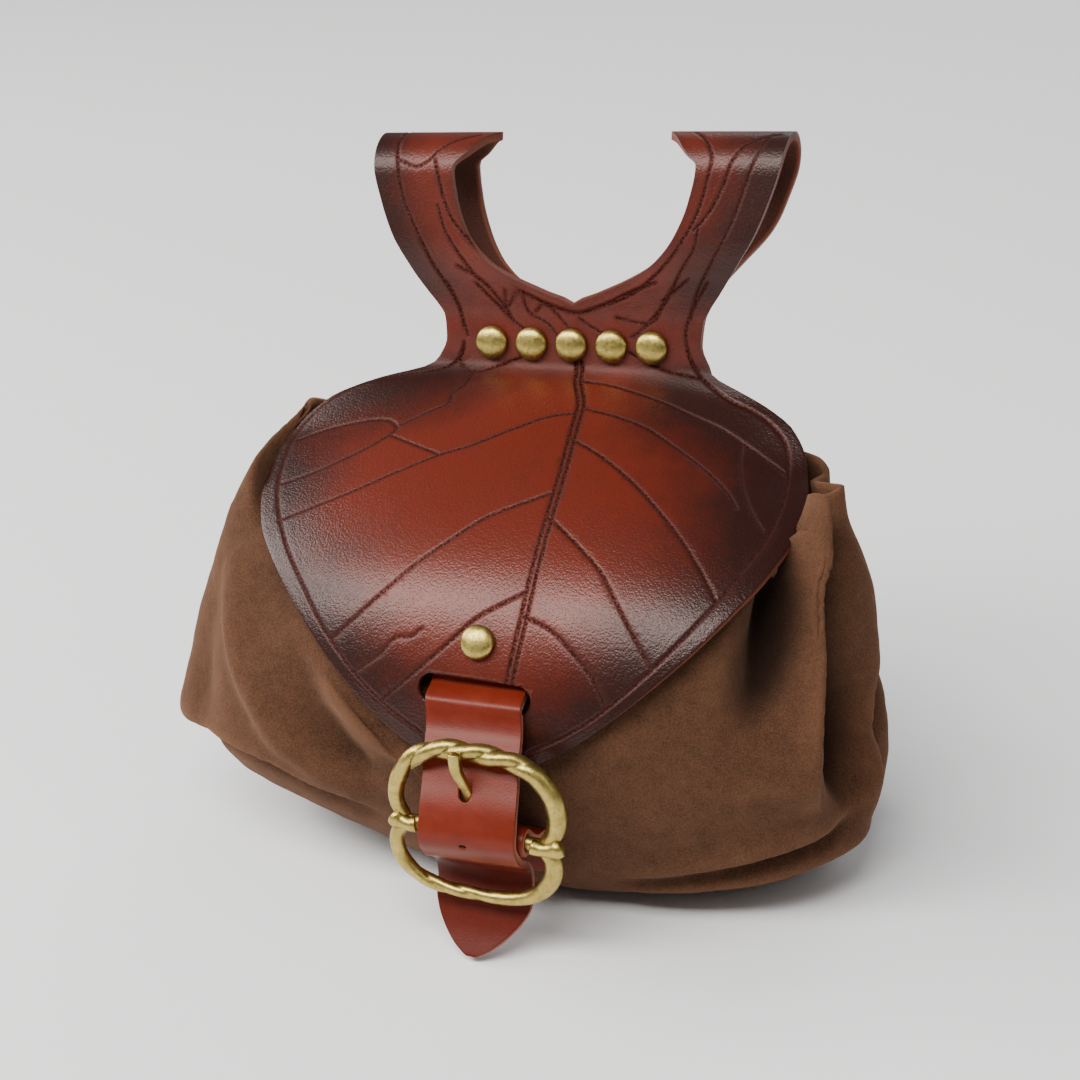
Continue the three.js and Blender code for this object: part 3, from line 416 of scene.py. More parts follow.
def rim_edges(bm):
    """The edges between a flat face and the side wall."""
    bm.normal_update()
    return [e for e in bm.edges if len(e.link_faces) == 2
            and min(abs(f.normal.z) for f in e.link_faces) < 0.5 < max(abs(f.normal.z) for f in e.link_faces)]


def flat_slab(fill, thickness, edge_round):
    """Grids from fill, merged, thickened downwards from z = 0 and rounded along the cut edges."""
    bm = bmesh.new()
    fill(bm)
    bmesh.ops.remove_doubles(bm, verts=bm.verts[:], dist=WELD)
    for face in bm.faces:
        face.normal_update()
        if face.normal.z < 0:
            face.normal_flip()
    top = bm.faces[:]
    low = bmesh.ops.extrude_face_region(bm, geom=top, use_keep_orig=True)["geom"]
    moved = [g for g in low if isinstance(g, bmesh.types.BMVert)]
    bmesh.ops.translate(bm, verts=moved, vec=(0, 0, -thickness))
    bmesh.ops.recalc_face_normals(bm, faces=bm.faces[:])
    bmesh.ops.bevel(bm, geom=rim_edges(bm), affect="EDGES", offset=edge_round, segments=3, profile=0.5,
                    material=-1, clamp_overlap=True)
    return bm


bm = flat_slab(leather_grids, LEATHER, edge_round=0.5)
print("flat leather:", len(bm.faces), "faces")

# %% [markdown]
# Holes are punched while the leather is still flat. A punch is a tall rod through the piece, and a Boolean
# modifier takes it away. The result of the modifier then becomes the piece's own mesh.

# %% A punch
PUNCH_SIDES = 32


def mesh_object(name, bm):
    mesh = bpy.data.meshes.new(name)
    bm.to_mesh(mesh)
    bm.free()
    made = bpy.data.objects.new(name, mesh)
    bpy.context.scene.collection.objects.link(made)
    return made


def applied(piece):
    """The piece with its modifiers made real."""
    bpy.context.view_layer.update()
    graph = bpy.context.evaluated_depsgraph_get()
    mesh = bpy.data.meshes.new_from_object(piece.evaluated_get(graph))
    piece.modifiers.clear()
    old = piece.data
    piece.data = mesh
    bpy.data.meshes.remove(old)
    return piece


def round_punch(bm, u, v, radius, half_width=0.0, half_length=0.0):
    """A tall rod through the flat piece, stretched into a slot across or along it when one is asked for."""
    rod = bmesh.ops.create_cone(bm, cap_ends=True, segments=PUNCH_SIDES, radius1=radius, radius2=radius,
                                depth=20, matrix=Matrix.Translation((u, v, 0)))["verts"]
    for vert in rod:
        if abs(vert.co.x - u) > 1e-6:
            vert.co.x += math.copysign(half_width, vert.co.x - u)
        if abs(vert.co.y - v) > 1e-6:
            vert.co.y += math.copysign(half_length, vert.co.y - v)


def punched(name, bm, holes):
    piece = mesh_object(name, bm)
    tool_bm = bmesh.new()
    for hole in holes:
        round_punch(tool_bm, *hole)
    tool = mesh_object(name + "_punch", tool_bm)
    cut = piece.modifiers.new("punch", "BOOLEAN")
    cut.object, cut.solver = tool, "EXACT"
    applied(piece)
    bpy.data.objects.remove(tool)
    return piece


print("the punch has", PUNCH_SIDES, "sides")

# %% [markdown]
# The big piece gets a long slot for the strap, one hole for each rivet, and four more in the ends of the
# loops, which the outer rivets of the yoke go through as well.

# %% Punching holes
STRAP_X = -1
SLOT_V, SLOT_W, SLOT_H = 103, 29.6, 7.6
FLAP_RIVET = (STRAP_X - FLAP_SHIFT - TIP_SHIFT, 90)
SHANK_HOLE = 1.8  # radius of the hole that a rivet goes through
RIVETS_APART, RIVETS_V = 11, -5.5
yoke_rivets = [(RIVETS_APART * k, RIVETS_V) for k in (-2, -1, 0, 1, 2)]
slot_half = SLOT_W / 2 - SLOT_H / 2
leather_holes = [(u, v, SHANK_HOLE) for u, v in yoke_rivets + [FLAP_RIVET]]
leather_holes += [(u, -LOOP_LENGTH - v, SHANK_HOLE) for u, v in yoke_rivets if u]
leather_holes += [(FLAP_RIVET[0], SLOT_V, SLOT_H / 2, slot_half)]
leather = punched("flap_and_loops_visual", bm, leather_holes)
print("punched leather:", len(leather.data.polygons), "faces")

# %% [markdown]
# Only the grain side near a tooled line needs small faces, so just those are divided, twice. It keeps the
# mesh light where nothing is tooled.

# %% Small faces near the tooled lines
GRAIN_SIDE = -0.05  # what lies above this height belongs to the grain side
FINE_WITHIN = (2.1, 1.3)  # distances from a line: the faces within each of them are divided once


def near_line(co, within):
    return co.z > GRAIN_SIDE and tool_tree.find((co.x, co.y, 0))[2] < within


def refine(piece):
    bm = bmesh.new()
    bm.from_mesh(piece.data)
    for within in FINE_WITHIN:
        close = {vert.index for vert in bm.verts if near_line(vert.co, within)}
        chosen = [e for e in bm.edges if e.verts[0].index in close and e.verts[1].index in close]
        bmesh.ops.subdivide_edges(bm, edges=chosen, cuts=1, use_grid_fill=True)
        bm.verts.index_update()
    bm.to_mesh(piece.data)
    bm.free()


refine(leather)
print("leather with small faces:", len(leather.data.polygons))

# %% [markdown]
# When a flat piece is bent, it would forget its flat places. They are kept as a UV map, and what else a
# material has to know is kept as masks: one value for each point, under a name.

# %% What a flat piece keeps
def coordinates(mesh):
    co = np.empty(len(mesh.vertices) * 3)
    mesh.vertices.foreach_get("co", co)
    return co.reshape(-1, 3)


def add_mask(piece, name, values):
    """Keeps one value for each point, which a material can read by name."""
    layer = piece.data.attributes.new(name, "FLOAT", "POINT")
    layer.data.foreach_set("value", np.ascontiguousarray(values, np.float32))


def add_flat_uv(mesh, flat):
    """Keeps the flat places as a UV map in metres, so that grain has its real size all over."""
    corners = np.empty(len(mesh.loops), np.int32)
    mesh.loops.foreach_get("vertex_index", corners)
    uv = mesh.uv_layers.new(name="flat")
    uv.data.foreach_set("uv", (flat[corners, :2] * MM).astype(np.float32).ravel())


def shade_smooth(piece):
    piece.data.polygons.foreach_set("use_smooth", [True] * len(piece.data.polygons))


def bend(piece, place):
    """Moves each flat point (x across, y along, z out of the grain side) to place(...) in millimetres."""
    mesh = piece.data
    flat = coordinates(mesh)
    add_flat_uv(mesh, flat)
    mesh.vertices.foreach_set("co", (place(flat) * MM).astype(np.float32).ravel())
    mesh.update()
    shade_smooth(piece)


flat = coordinates(leather.data)
print("the flat leather reaches from", flat.min(0).round(1), "to", flat.max(0).round(1))

# %% [markdown]
# Tooling presses a groove and raises a low lip beside it. The search tree gives each point's distance
# from the nearest line, and two bell-shaped curves of that distance give the lift. A slow sway of a
# third of a millimetre keeps the wide flap from looking like sheet metal.

# %% Depth of the tooling
GROOVE_W, GROOVE_DEPTH = 0.42, 0.17
LIP_AT, LIP_W, LIP_HEIGHT = 1.1, 0.45, 0.03
SWAY = 0.35
found = [tool_tree.find((u, v, 0)) for u, v, _ in flat]
distance = np.array([hit[2] for hit in found])
share = tool_depths[[hit[1] for hit in found]]
grain_side = flat[:, 2] > GRAIN_SIDE


def pressed(off, width):
    """1 where the distance off is 0, fading over the width, as deep as its line, on the grain side only."""
    return share * np.exp(-(off / width) ** 2) * grain_side


tooled_lift = LIP_HEIGHT * pressed(distance - LIP_AT, LIP_W) - GROOVE_DEPTH * pressed(distance, GROOVE_W)
sway = SWAY * np.sin(flat[:, 0] / 17 + 0.6) * np.sin(flat[:, 1] / 23 + 1.1) * smooth((flat[:, 1] - 8) / 20)
print("deepest groove:", round(float(-tooled_lift.min()), 2), "mm")

# %% [markdown]
# The edges of the big piece are burnished nearly black, and the dark runs in from the outline. So each
# point's distance from the outline is measured while the leather is flat, and a mask of the burnish is
# made from it: wide on the flap, narrower on the horns, and faint on the yoke.

# %% How far the burnish reaches
FLAP_REACH = 36
HORN_REACH_LEFT, HORN_REACH_RIGHT = 18, 27


def outline_distance(flat):
    """How far each flat point lies inside the outline of the leather."""
    v = np.linspace(0, FLAP_END, 500)
    w = np.linspace(0, LOOP_LENGTH, 500)
    outer, inner = horn_edges(w)
    line = [np.stack([side * flap_half(v), v], -1) for side in (-1, 1)]
    line += [np.stack([side * outer, -w], -1) for side in (-1, 1)]
    line += [np.stack([side * inner, -w], -1)[w > NOTCH] for side in (-1, 1)]
    tree = tree_of(np.vstack(line))
    return np.array([tree.find((u, v, 0))[2] for u, v, _ in flat])


def burnishing(flat, inside):
    """How dark each point is burnished: 1 at the outline, 0 in the red middle of the flap."""
    u, v = flat[:, 0], flat[:, 1]
    w = np.clip(-v, 0, LOOP_LENGTH)
    outer, inner = horn_edges(w)
    from_outer, from_inner = outer - np.abs(u), np.abs(u) - inner
    flap = 1 - smooth((inside + 2) / FLAP_REACH) + 0.35 * smooth((u - 10) / 35) * smooth((75 - v) / 40)
    reach = np.where(u < 0, HORN_REACH_LEFT, HORN_REACH_RIGHT)
    horn = 0.95 - 0.8 * smooth((from_outer + 1) / reach) + 0.15 * smooth((3 - from_inner) / 3)
    yoke = 0.25 - 0.15 * smooth((30 - np.abs(u)) / 20)
    return mix(mix(flap, yoke, smooth((4 - v) / 8)), horn, smooth((-v - 10) / 14))


edge_distance = outline_distance(flat)
burnish = burnishing(flat, edge_distance)
print("points with more burnish than red:", int((burnish > 0.5).sum()), "of", len(burnish))

# %% [markdown]
# Now the piece is bent, and what the material has to know goes with it as masks: the grooves, the
# burnish, the raw cut edges and flesh side, and where the leather is dulled by bending and handling,
# which is most along the crease and a little on the loops.

# %% Bending the big piece, with its masks
GROOVE_SEEN, GROOVE_STRENGTH = 0.52, 1.5  # the dark of a groove is a little wider than its hollow
DULL_LOOPS, DULL_CREASE = 0.2, 0.9
FLESH_WITHIN = 0.3  # the flesh side reaches this far up from the back


def mark_raw(piece, flat, edge, thickness, wide, fade, below):
    """Masks of raw leather: the cut edge, this wide and this far below the grain side, and the flesh side."""
    add_mask(piece, "cut_edge", smooth((wide - edge) / fade) * (flat[:, 2] < -below))
    add_mask(piece, "flesh_side", flat[:, 2] < -thickness + FLESH_WITHIN)


bend(leather, lambda p: leather_point(p[:, 0], p[:, 1], p[:, 2] + tooled_lift + sway))
near_crease = smooth((8 - np.abs(flat[:, 1] + 1)) / 6)
add_mask(leather, "groove", np.clip(GROOVE_STRENGTH * pressed(distance, GROOVE_SEEN), 0, 1))
add_mask(leather, "burnish", burnish)
add_mask(leather, "handled", DULL_LOOPS * smooth(-flat[:, 1] / 10) + DULL_CREASE * near_crease)
mark_raw(leather, flat, edge_distance, LEATHER, wide=0.9, fade=0.6, below=0.3)
print("tooled leather:", len(leather.data.polygons), "faces")

# %% [markdown]
# ## The closing strap and the short strap that holds the buckle
# Both are cut and punched flat and then laid along a line seen from the side, just as the big piece
# was. The line is a smooth curve through a few places, so the strap bends the way real leather does:
# over the buckle's middle bar in a hump, then down to its pointed tip.

# %% Lines through places, seen from the side
def smooth_line(places, step=0.25):
    """Evenly spaced points along a smooth curve through the places, which it never overshoots much."""
    p = np.array(places, float)
    p = np.vstack([2 * p[0] - p[1], p, 2 * p[-1] - p[-2]])
    pieces = []
    for a, b, c, d in zip(p[:-3], p[1:-2], p[2:-1], p[3:]):
        spans = (b - a, c - b, d - c)
        first, middle, last = [max(1e-6, math.sqrt(np.linalg.norm(span))) for span in spans]
        t = np.linspace(0, 1, 41)[:-1, None]
        leave = ((b - a) / first - (c - a) / (first + middle) + (c - b) / middle) * middle
        arrive = ((c - b) / middle - (d - b) / (middle + last) + (d - c) / last) * middle
        pieces.append(b * (2 * t**3 - 3 * t**2 + 1) + leave * (t**3 - 2 * t**2 + t)
                      + c * (3 * t**2 - 2 * t**3) + arrive * (t**3 - t**2))
    fine = np.vstack(pieces + [p[-2:-1]])
    run = np.concatenate([[0], np.cumsum(np.linalg.norm(np.diff(fine, axis=0), axis=1))])
    even = np.linspace(0, run[-1], int(run[-1] / step) + 1)
    return np.stack([np.interp(even, run, fine[:, i]) for i in range(fine.shape[1])], -1), float(run[-1])


def on_line(line, length, s):
    """Places and directions at distances s along an evenly spaced line."""
    at = np.linspace(0, length, len(line))
    way = unit(np.gradient(line, axis=0))
    place = np.stack([np.interp(s, at, line[:, i]) for i in range(line.shape[1])], -1)
    heading = np.stack([np.interp(s, at, way[:, i]) for i in range(line.shape[1])], -1)
    return place, unit(heading)


print("a bow 10 mm wide and 5 mm high is", round(smooth_line([(0, 0), (5, 5), (10, 0)])[1], 1), "mm long")

# %% [markdown]
# The buckle's three bars come first, because the strap passes over the middle one. The strap starts
# under the flap, comes out through the slot, and is then laid over the buckle place by place.

# %% Sizes of the strap and the buckle's bars
STRAP_LEATHER = 2.0  # thickness
CHAPE_LEATHER = 1.6  # thickness
STRAP_W = 25
UPPER_BAR, CENTRE_BAR, LOWER_BAR = (-57, 58), (-58.5, 36), (-57.5, 18)  # y and z
TIP = (-63, 1.5)  # y and z of the strap's end
STRAP_TURN = -4  # degrees
BAR_R, LOWER_R, PRONG_R = 1.8, 1.7, 1.3
STRAP_START_V = 82  # how far down the flap the strap's riveted end lies


def strap_places():
    """y and z of the strap's grain side, from its riveted end to its tip."""
    def beside(v, lift):
        dip = math.radians(float(flap_dip(v)))
        return (float(np.interp(v, flap_v, flap_y)) - lift * math.sin(dip),
                float(np.interp(v, flap_v, flap_z)) + lift * math.cos(dip))

    under = -(LEATHER + 3 * GAP)
    over = STRAP_LEATHER + GAP
    over_bar = BAR_R + 2 * PRONG_R + STRAP_LEATHER + 2 * GAP
    y, z = CENTRE_BAR
    inside = [beside(STRAP_START_V + further, under) for further in (0, 5, 10, 15)]
    through_slot = [beside(SLOT_V - 2.8, under + 0.1), beside(SLOT_V + 1.8, over - 0.3)]
    outside = [beside(109, over), beside(112, over + 0.5)]
    to_buckle = [(UPPER_BAR[0] + 4, UPPER_BAR[1] - 1), (UPPER_BAR[0] + 0.4, UPPER_BAR[1] - 6)]
    hump = [(y - over_bar + 2.4, z + 7.5), (y - over_bar, z + 0.5), (y - over_bar + 3.2, z - 5.5)]
    past_lower = [(LOWER_BAR[0] + LOWER_R + in_front, LOWER_BAR[1] + higher)
                  for in_front, higher in ((1.1, 6), (1.5, -1))]
    hanging = [(mix(LOWER_BAR[0], TIP[0], 0.35) + 1.5, 9), TIP]
    return inside + through_slot + outside + to_buckle + hump + past_lower + hanging


def evened(line, length, first, last, reach):
    """The line with the stretch from first to last evened out, so that it bends without ripples."""
    at = np.linspace(0, length, len(line))
    weights = np.exp(-((at[:, None] - at[None, :]) / reach) ** 2)
    even = weights @ line / weights.sum(1, keepdims=True)
    share = smooth((at - first) / 5) * smooth((last - at) / 5)
    return mix(line, even, share[:, None])


strap_line, STRAP_LENGTH = smooth_line(strap_places())
strap_line, STRAP_LENGTH = smooth_line(evened(strap_line, STRAP_LENGTH, first=24, last=48, reach=4)[::4])
strap_half = curve("from_tip half", [
    (0, 1.2), (2, 4.2), (6, 8), (11, 11.2), (15, STRAP_W / 2), (500, STRAP_W / 2)])
print("the closing strap is", round(STRAP_LENGTH, 1), "mm long")

# %% [markdown]
# Seen from the front, the strap hangs a little off the middle and swings back at its tip. It is turned a
# few degrees as well, more below the flap than under it.

# %% Places on the strap
SWING, SWING_BACK = 3.8, 2


def strap_middle(z):
    return STRAP_X + SWING * smooth((75 - z) / 35) - SWING_BACK * smooth((20 - z) / 20)


def strap_point(x, s, lift=0.0):
    """Where a flat place of the strap lies: x across it, s from its riveted end, lift off its grain side."""
    place, way = on_line(strap_line, STRAP_LENGTH, s)
    turn = np.radians(mix(TURN_TIP, STRAP_TURN, smooth((75 - place[..., 1]) / 20)))
    skew = np.sin(turn) * x
    return np.stack([strap_middle(place[..., 1]) + x,
                     place[..., 0] - way[..., 0] * skew + way[..., 1] * lift,
                     place[..., 1] - way[..., 1] * skew - way[..., 0] * lift], -1)


print("the strap's tip lies at", [round(float(x), 1) for x in strap_point(0, STRAP_LENGTH)])

# %% [markdown]
# The buckle lies in a plane of its own: x across, rise up from its middle bar, out towards the viewer.
# The prong's line is drawn on it too: up from the bar, through the strap, and onto the upper bar.

# %% Places on the buckle
BUCKLE_X = float(strap_middle(CENTRE_BAR[1]))
UPPER_RISE = math.hypot(UPPER_BAR[0] - CENTRE_BAR[0], UPPER_BAR[1] - CENTRE_BAR[1])
LOWER_DROP = math.hypot(LOWER_BAR[0] - CENTRE_BAR[0], LOWER_BAR[1] - CENTRE_BAR[1])
TURN_SINE = math.sin(math.radians(STRAP_TURN))


def buckle_at(x, rise, out=0.0):
    """Where a place on the buckle lies in the bag, in millimetres."""
    x, rise, out = np.broadcast_arrays(*[np.asarray(value, float) for value in (x, rise, out)])
    upper = (rise >= 0)[..., None]
    up = [(end[0] - CENTRE_BAR[0], end[1] - CENTRE_BAR[1]) for end in (UPPER_BAR, LOWER_BAR)]
    way = np.where(upper, np.array(up[0]) / UPPER_RISE, np.array(up[1]) / -LOWER_DROP)
    turned = rise + x * TURN_SINE
    return np.stack([BUCKLE_X + x - rise * TURN_SINE,
                     CENTRE_BAR[0] + turned * way[..., 0] - out * way[..., 1],
                     CENTRE_BAR[1] + turned * way[..., 1] + out * way[..., 0]], -1)


PRONG_X = -1.5
prong_rows = [  # rise, out, and how far it leans to the side
    (0, -BAR_R - GAP - PRONG_R, 0), (2.6, -2.2, 0), (4.6, 0, 0), (8.5, 0.9, 0), (11, 1.4, -0.1),
    (13.2, 2.3, -0.6), (15.5, 3.5, -1.4), (18.5, 4.6, -2.4), (UPPER_RISE, 4.9, -2.9),
    (UPPER_RISE + 1.1, 4.9, -3)]
prong_places = [buckle_at(PRONG_X + lean, rise, out) for rise, out, lean in prong_rows]
prong_line, PRONG_LENGTH = smooth_line(prong_places)
print("the prong is", round(PRONG_LENGTH, 1), "mm long, without its ring")

# %% [markdown]
# The strap's hole for the prong is where the prong's line passes through the leather, so it is looked
# for there. The prong crosses at a slant, and the hole has to be longer than the prong is thick.

# %% Cutting, punching and bending the strap
PRONG_ACROSS = -1.0  # x of the prong's hole, from the middle of the strap
PRONG_HOLE_R, SPARE_HOLE_R, SPARE_HOLE_WIDER = 1.6, 0.7, 0.35
RIPPLE = 0.10
TIP_SHADE_FROM = 34  # painted shade: the strap is darkened from this far before its tip, fully 12 mm further on


def strap_grid(bm):
    def place(s, t):
        length = STRAP_LENGTH * t
        return flat_layer((2 * s - 1) * strap_half(STRAP_LENGTH - length), length)

    grid(bm, 26, int(STRAP_LENGTH / 0.9), place)


def crossing(x_across, low, high):
    """Distances along the strap between which the prong passes through it, beside x_across."""
    s = np.arange(low, high, 0.25)
    middle = strap_point(x_across, s, -STRAP_LEATHER / 2)
    near = np.array([np.linalg.norm(prong_line - spot, axis=1).min() for spot in middle])
    through = s[near < PRONG_R + 0.7]
    return float(through.min()), float(through.max())


passes = crossing(PRONG_ACROSS, 38, STRAP_LENGTH - 30)
below_slot = strap_line[:, 1] < 60
s_at_bar = float(np.interp(-(CENTRE_BAR[1] - 0.5), -strap_line[below_slot][:, 1],
                           np.linspace(0, STRAP_LENGTH, len(strap_line))[below_slot]))
strap_holes = [(0, float(FLAP_RIVET[1] - STRAP_START_V), SHANK_HOLE),
               (PRONG_ACROSS, sum(passes) / 2 - 0.5, PRONG_HOLE_R, 0, (passes[1] - passes[0]) / 2 - 1.5),
               (PRONG_X + 0.6, s_at_bar, SPARE_HOLE_R, SPARE_HOLE_WIDER, 0)]
strap = punched("closing_strap_visual", flat_slab(strap_grid, STRAP_LEATHER, edge_round=0.45), strap_holes)
flat = coordinates(strap.data)
strap_edge = strap_half(STRAP_LENGTH - flat[:, 1]) - np.abs(flat[:, 0])
ripple = RIPPLE * np.sin(flat[:, 1] / 5.3) * np.sin(flat[:, 0] / 7 + 1)
bend(strap, lambda p: strap_point(p[:, 0], p[:, 1], p[:, 2] + ripple))
mark_raw(strap, flat, strap_edge, STRAP_LEATHER, wide=0.75, fade=0.5, below=0.25)
# Painted shade: a mask for the end of the strap by its tip, below the buckle.
add_mask(strap, "tip_shade", smooth((flat[:, 1] - STRAP_LENGTH + TIP_SHADE_FROM) / 12))
print("prong passes the strap from", [round(s, 1) for s in passes], "spare hole at", round(s_at_bar, 1))

# %% [markdown]
# The short strap, which a saddler calls a chape, goes round the middle bar and lies double on the
# pouch. It has a long slot, in which the prong turns. It follows the front of the pouch, so the plain
# shape of the pouch is given here first, as a table of its level rings.

# %% The line of the short strap
CHAPE_HALF = 13.6  # half its width
CHAPE_TOP, CHAPE_FOOT = 30, 17  # heights between which it lies flat on the pouch
pouch_rows = rows("z half across front back square tuck", [
    (0, 50, 10, -16, 32, 2.2, 12), (3, 62, 9.5, -26.5, 40, 2.3, 11), (10, 76, 6, -34.5, 45, 2.4, 9),
    (22, 90, -1.5, -40.5, 48.5, 2.4, 5), (38, 95, -4, -44, 50, 2.4, 1), (54, 93, -3.5, -44, 50, 2.3, 0),
    (70, 88.5, -2, -40.5, 48.5, 2.3, 0), (84, 84, -0.5, -35, 46.5, 2.3, 0), (95, 78, 0, -28, 45, 2.4, 0),
    (103, 75, 1, -21, 44.5, 2.5, 0), (112, 74, 1, -14, 44, 2.5, 0)])
pouch_front = along(pouch_rows, "z", "front")


def chape_line():
    """y and z of the short strap's outer face: down the front of the bar, round it and down behind."""
    apart = CHAPE_LEATHER + GAP / 2
    middle = []
    for z in np.arange(CHAPE_FOOT, CHAPE_TOP + 0.1, 3.25):
        slope = float(pouch_front(z + 1) - pouch_front(z - 1)) / 2
        length = math.hypot(1, slope)
        middle.append((float(pouch_front(z)) - (apart + GAP + 0.8) / length,
                       z - (apart + GAP) * slope / length))
    last = middle[-1]
    middle.append((mix(last[0], CENTRE_BAR[0], 0.45), mix(last[1], CENTRE_BAR[1], 0.38)))
    ring = BAR_R + GAP + CHAPE_LEATHER
    heading = math.atan2(CENTRE_BAR[1] - middle[-1][1], CENTRE_BAR[0] - middle[-1][0])
    ahead = middle[1:] + [CENTRE_BAR]
    behind = [middle[0]] + middle[:-1]
    ways = unit(np.array(ahead) - np.array(behind))
    sides = np.stack([-ways[:, 1], ways[:, 0]], -1) * apart
    angles = [heading + math.radians(110 - 220 * i / 12) for i in range(13)]
    around = [(CENTRE_BAR[0] + ring * math.cos(a), CENTRE_BAR[1] + ring * math.sin(a)) for a in angles]
    places = np.vstack([np.array(middle) + sides, around, (np.array(middle) - sides)[::-1]])
    return smooth_line(places), (around[0], around[-1])


(chape_yz, CHAPE_LENGTH), bend_ends = chape_line()
chape_at = np.linspace(0, CHAPE_LENGTH, len(chape_yz))
turn_s = [float(chape_at[np.linalg.norm(chape_yz - spot, axis=1).argmin()]) for spot in bend_ends]
print("short strap:", round(CHAPE_LENGTH, 1), "mm, round the bar from", [round(s, 1) for s in turn_s])

# %% [markdown]
# It is cut, punched and bent like the closing strap. Then the three leather pieces are told which solid
# of the frame each of them rides with and stands for.

# %% The short strap, and handing over the leather
SLOT_R, SLOT_LONGER = 2.1, 0.6  # the slot ends a little past the bend round the bar


def chape_point(x, s, lift=0.0):
    place, way = on_line(chape_yz, CHAPE_LENGTH, s)
    skew = x * TURN_SINE * smooth((place[..., 1] - CENTRE_BAR[1] + 7) / 3)
    return np.stack([BUCKLE_X + x,
                     place[..., 0] - way[..., 1] * lift,
                     place[..., 1] + skew + way[..., 0] * lift], -1)


def chape_grid(bm):
    grid(bm, 24, int(CHAPE_LENGTH / 0.8),
         lambda s, t: flat_layer((2 * s - 1) * CHAPE_HALF, CHAPE_LENGTH * t))


def stands_for(piece, node):
    """The piece rides with the root body and replaces a node of the frame, which is hidden."""
    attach(piece, "root")
    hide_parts(node)


slot_reach = (turn_s[1] - turn_s[0]) / 2 + SLOT_LONGER
chape = punched("buckle_strap_visual", flat_slab(chape_grid, CHAPE_LEATHER, edge_round=0.4),
                [(PRONG_X - 0.2, sum(turn_s) / 2, SLOT_R, 0, slot_reach)])
flat = coordinates(chape.data)
bend(chape, lambda p: chape_point(p[:, 0], p[:, 1], p[:, 2]))
mark_raw(chape, flat, CHAPE_HALF - np.abs(flat[:, 0]), CHAPE_LEATHER, wide=0.7, fade=0.5, below=0.25)
stands_for(leather, "flap_and_loops")
stands_for(strap, "closing_strap")
stands_for(chape, "buckle_strap")
print("leather pieces:", [piece.name for piece in (leather, strap, chape)])

# %% [markdown]
# ## Brass: the buckle, its prong and the rivets
# The buckle is cast: two hoops that share a middle bar, with a small collar where each side meets it.
# The front of a hoop is twisted like a rope of two strands. Each part is a sleeve, which is a grid
# rolled round a line: its cross-section is the outline of two touching rods, and turns as it goes.

# %% Sleeves along a line
CLOSER_AT_ENDS = 0.35  # share by which the rings crowd towards the ends, where the radius changes fast
SEAM, SLIVER = 0.004, 0.001
in_front = buckle_at(0, 1, 1) - buckle_at(0, 1, 0)
BUCKLE_OUT = in_front / np.linalg.norm(in_front)


def sleeve(bm, line, length, radius, around, rings, section=None, facing=BUCKLE_OUT):
    """A closed bar along a line. radius(t) and section(t, angle) shape it; its ends close in a point."""
    def place(s, t):
        eased = 0.5 - 0.5 * np.cos(np.pi * np.clip(t, 0, 1))
        run = mix(t, eased, CLOSER_AT_ENDS)
        spot, way = on_line(line, length, run * length)
        across = unit(np.cross(way, facing))
        front = np.cross(across, way)
        angle = 2 * np.pi * s
        size = (radius(run) * (section(run, angle) if section else 1))[:, None]
        return spot + size * (np.cos(angle)[:, None] * across + np.sin(angle)[:, None] * front)

    grid(bm, around, rings, place)


def closed(bm):
    """Merges seams and pole points and turns every face outwards."""
    bmesh.ops.remove_doubles(bm, verts=bm.verts[:], dist=SEAM)
    bmesh.ops.dissolve_degenerate(bm, edges=bm.edges[:], dist=SLIVER)
    bmesh.ops.recalc_face_normals(bm, faces=bm.faces[:])
    return bm


def in_metres(bm, name):
    bmesh.ops.scale(bm, verts=bm.verts[:], vec=(MM, MM, MM))
    piece = mesh_object(name, bm)
    shade_smooth(piece)
    return piece


print("the buckle faces", [round(float(x), 2) for x in BUCKLE_OUT])

# %% [markdown]
# The rope twist fades in at the left shoulder and out again at the right one. Its cross-section is that
# of two rods that lie apart by a share of the wire's radius, strand_apart, so the grooves are sharp.

# %% The two hoops
HOOP_HALF, EAR_X = 21, 18.4
HOOP_OUT = 0.5  # a hoop leans out by this much from the bar to its top
TWIST_LENGTH = 18  # millimetres of wire for one full turn of the strands
TWIST_START, TWIST_FADE_IN, TWIST_FADE_OUT = 0.9, 0.1, 0.14
UPPER_TWIST, LOWER_TWIST = 0.27, 0.17  # how far apart the strands lie, as a share of the wire's radius
hoop_rows = [  # rise and half width, as shares of the hoop's height and half width
    (0, 17.0 / HOOP_HALF), (0.07, 0.885), (0.19, 0.975), (0.36, 1), (0.6, 0.94), (0.82, 0.77), (0.96, 0.48),
    (1, 0)]
upper_wire = curve("run radius", [
    (0, 0), (0.012, 1.1), (0.05, 1.8), (0.14, 2.1), (0.25, 2.5), (0.4, 2.7), (0.55, 2.7), (0.7, 2.6),
    (0.84, 2.6), (0.93, 2.3), (0.985, 1.4), (1, 0)])
lower_wire = curve("run radius", [
    (0, 0), (0.015, 1.3), (0.07, 1.85), (0.25, 1.9), (0.5, 1.75), (0.7, 1.95), (0.85, 2.35), (0.95, 2.1),
    (0.985, 1.3), (1, 0)])


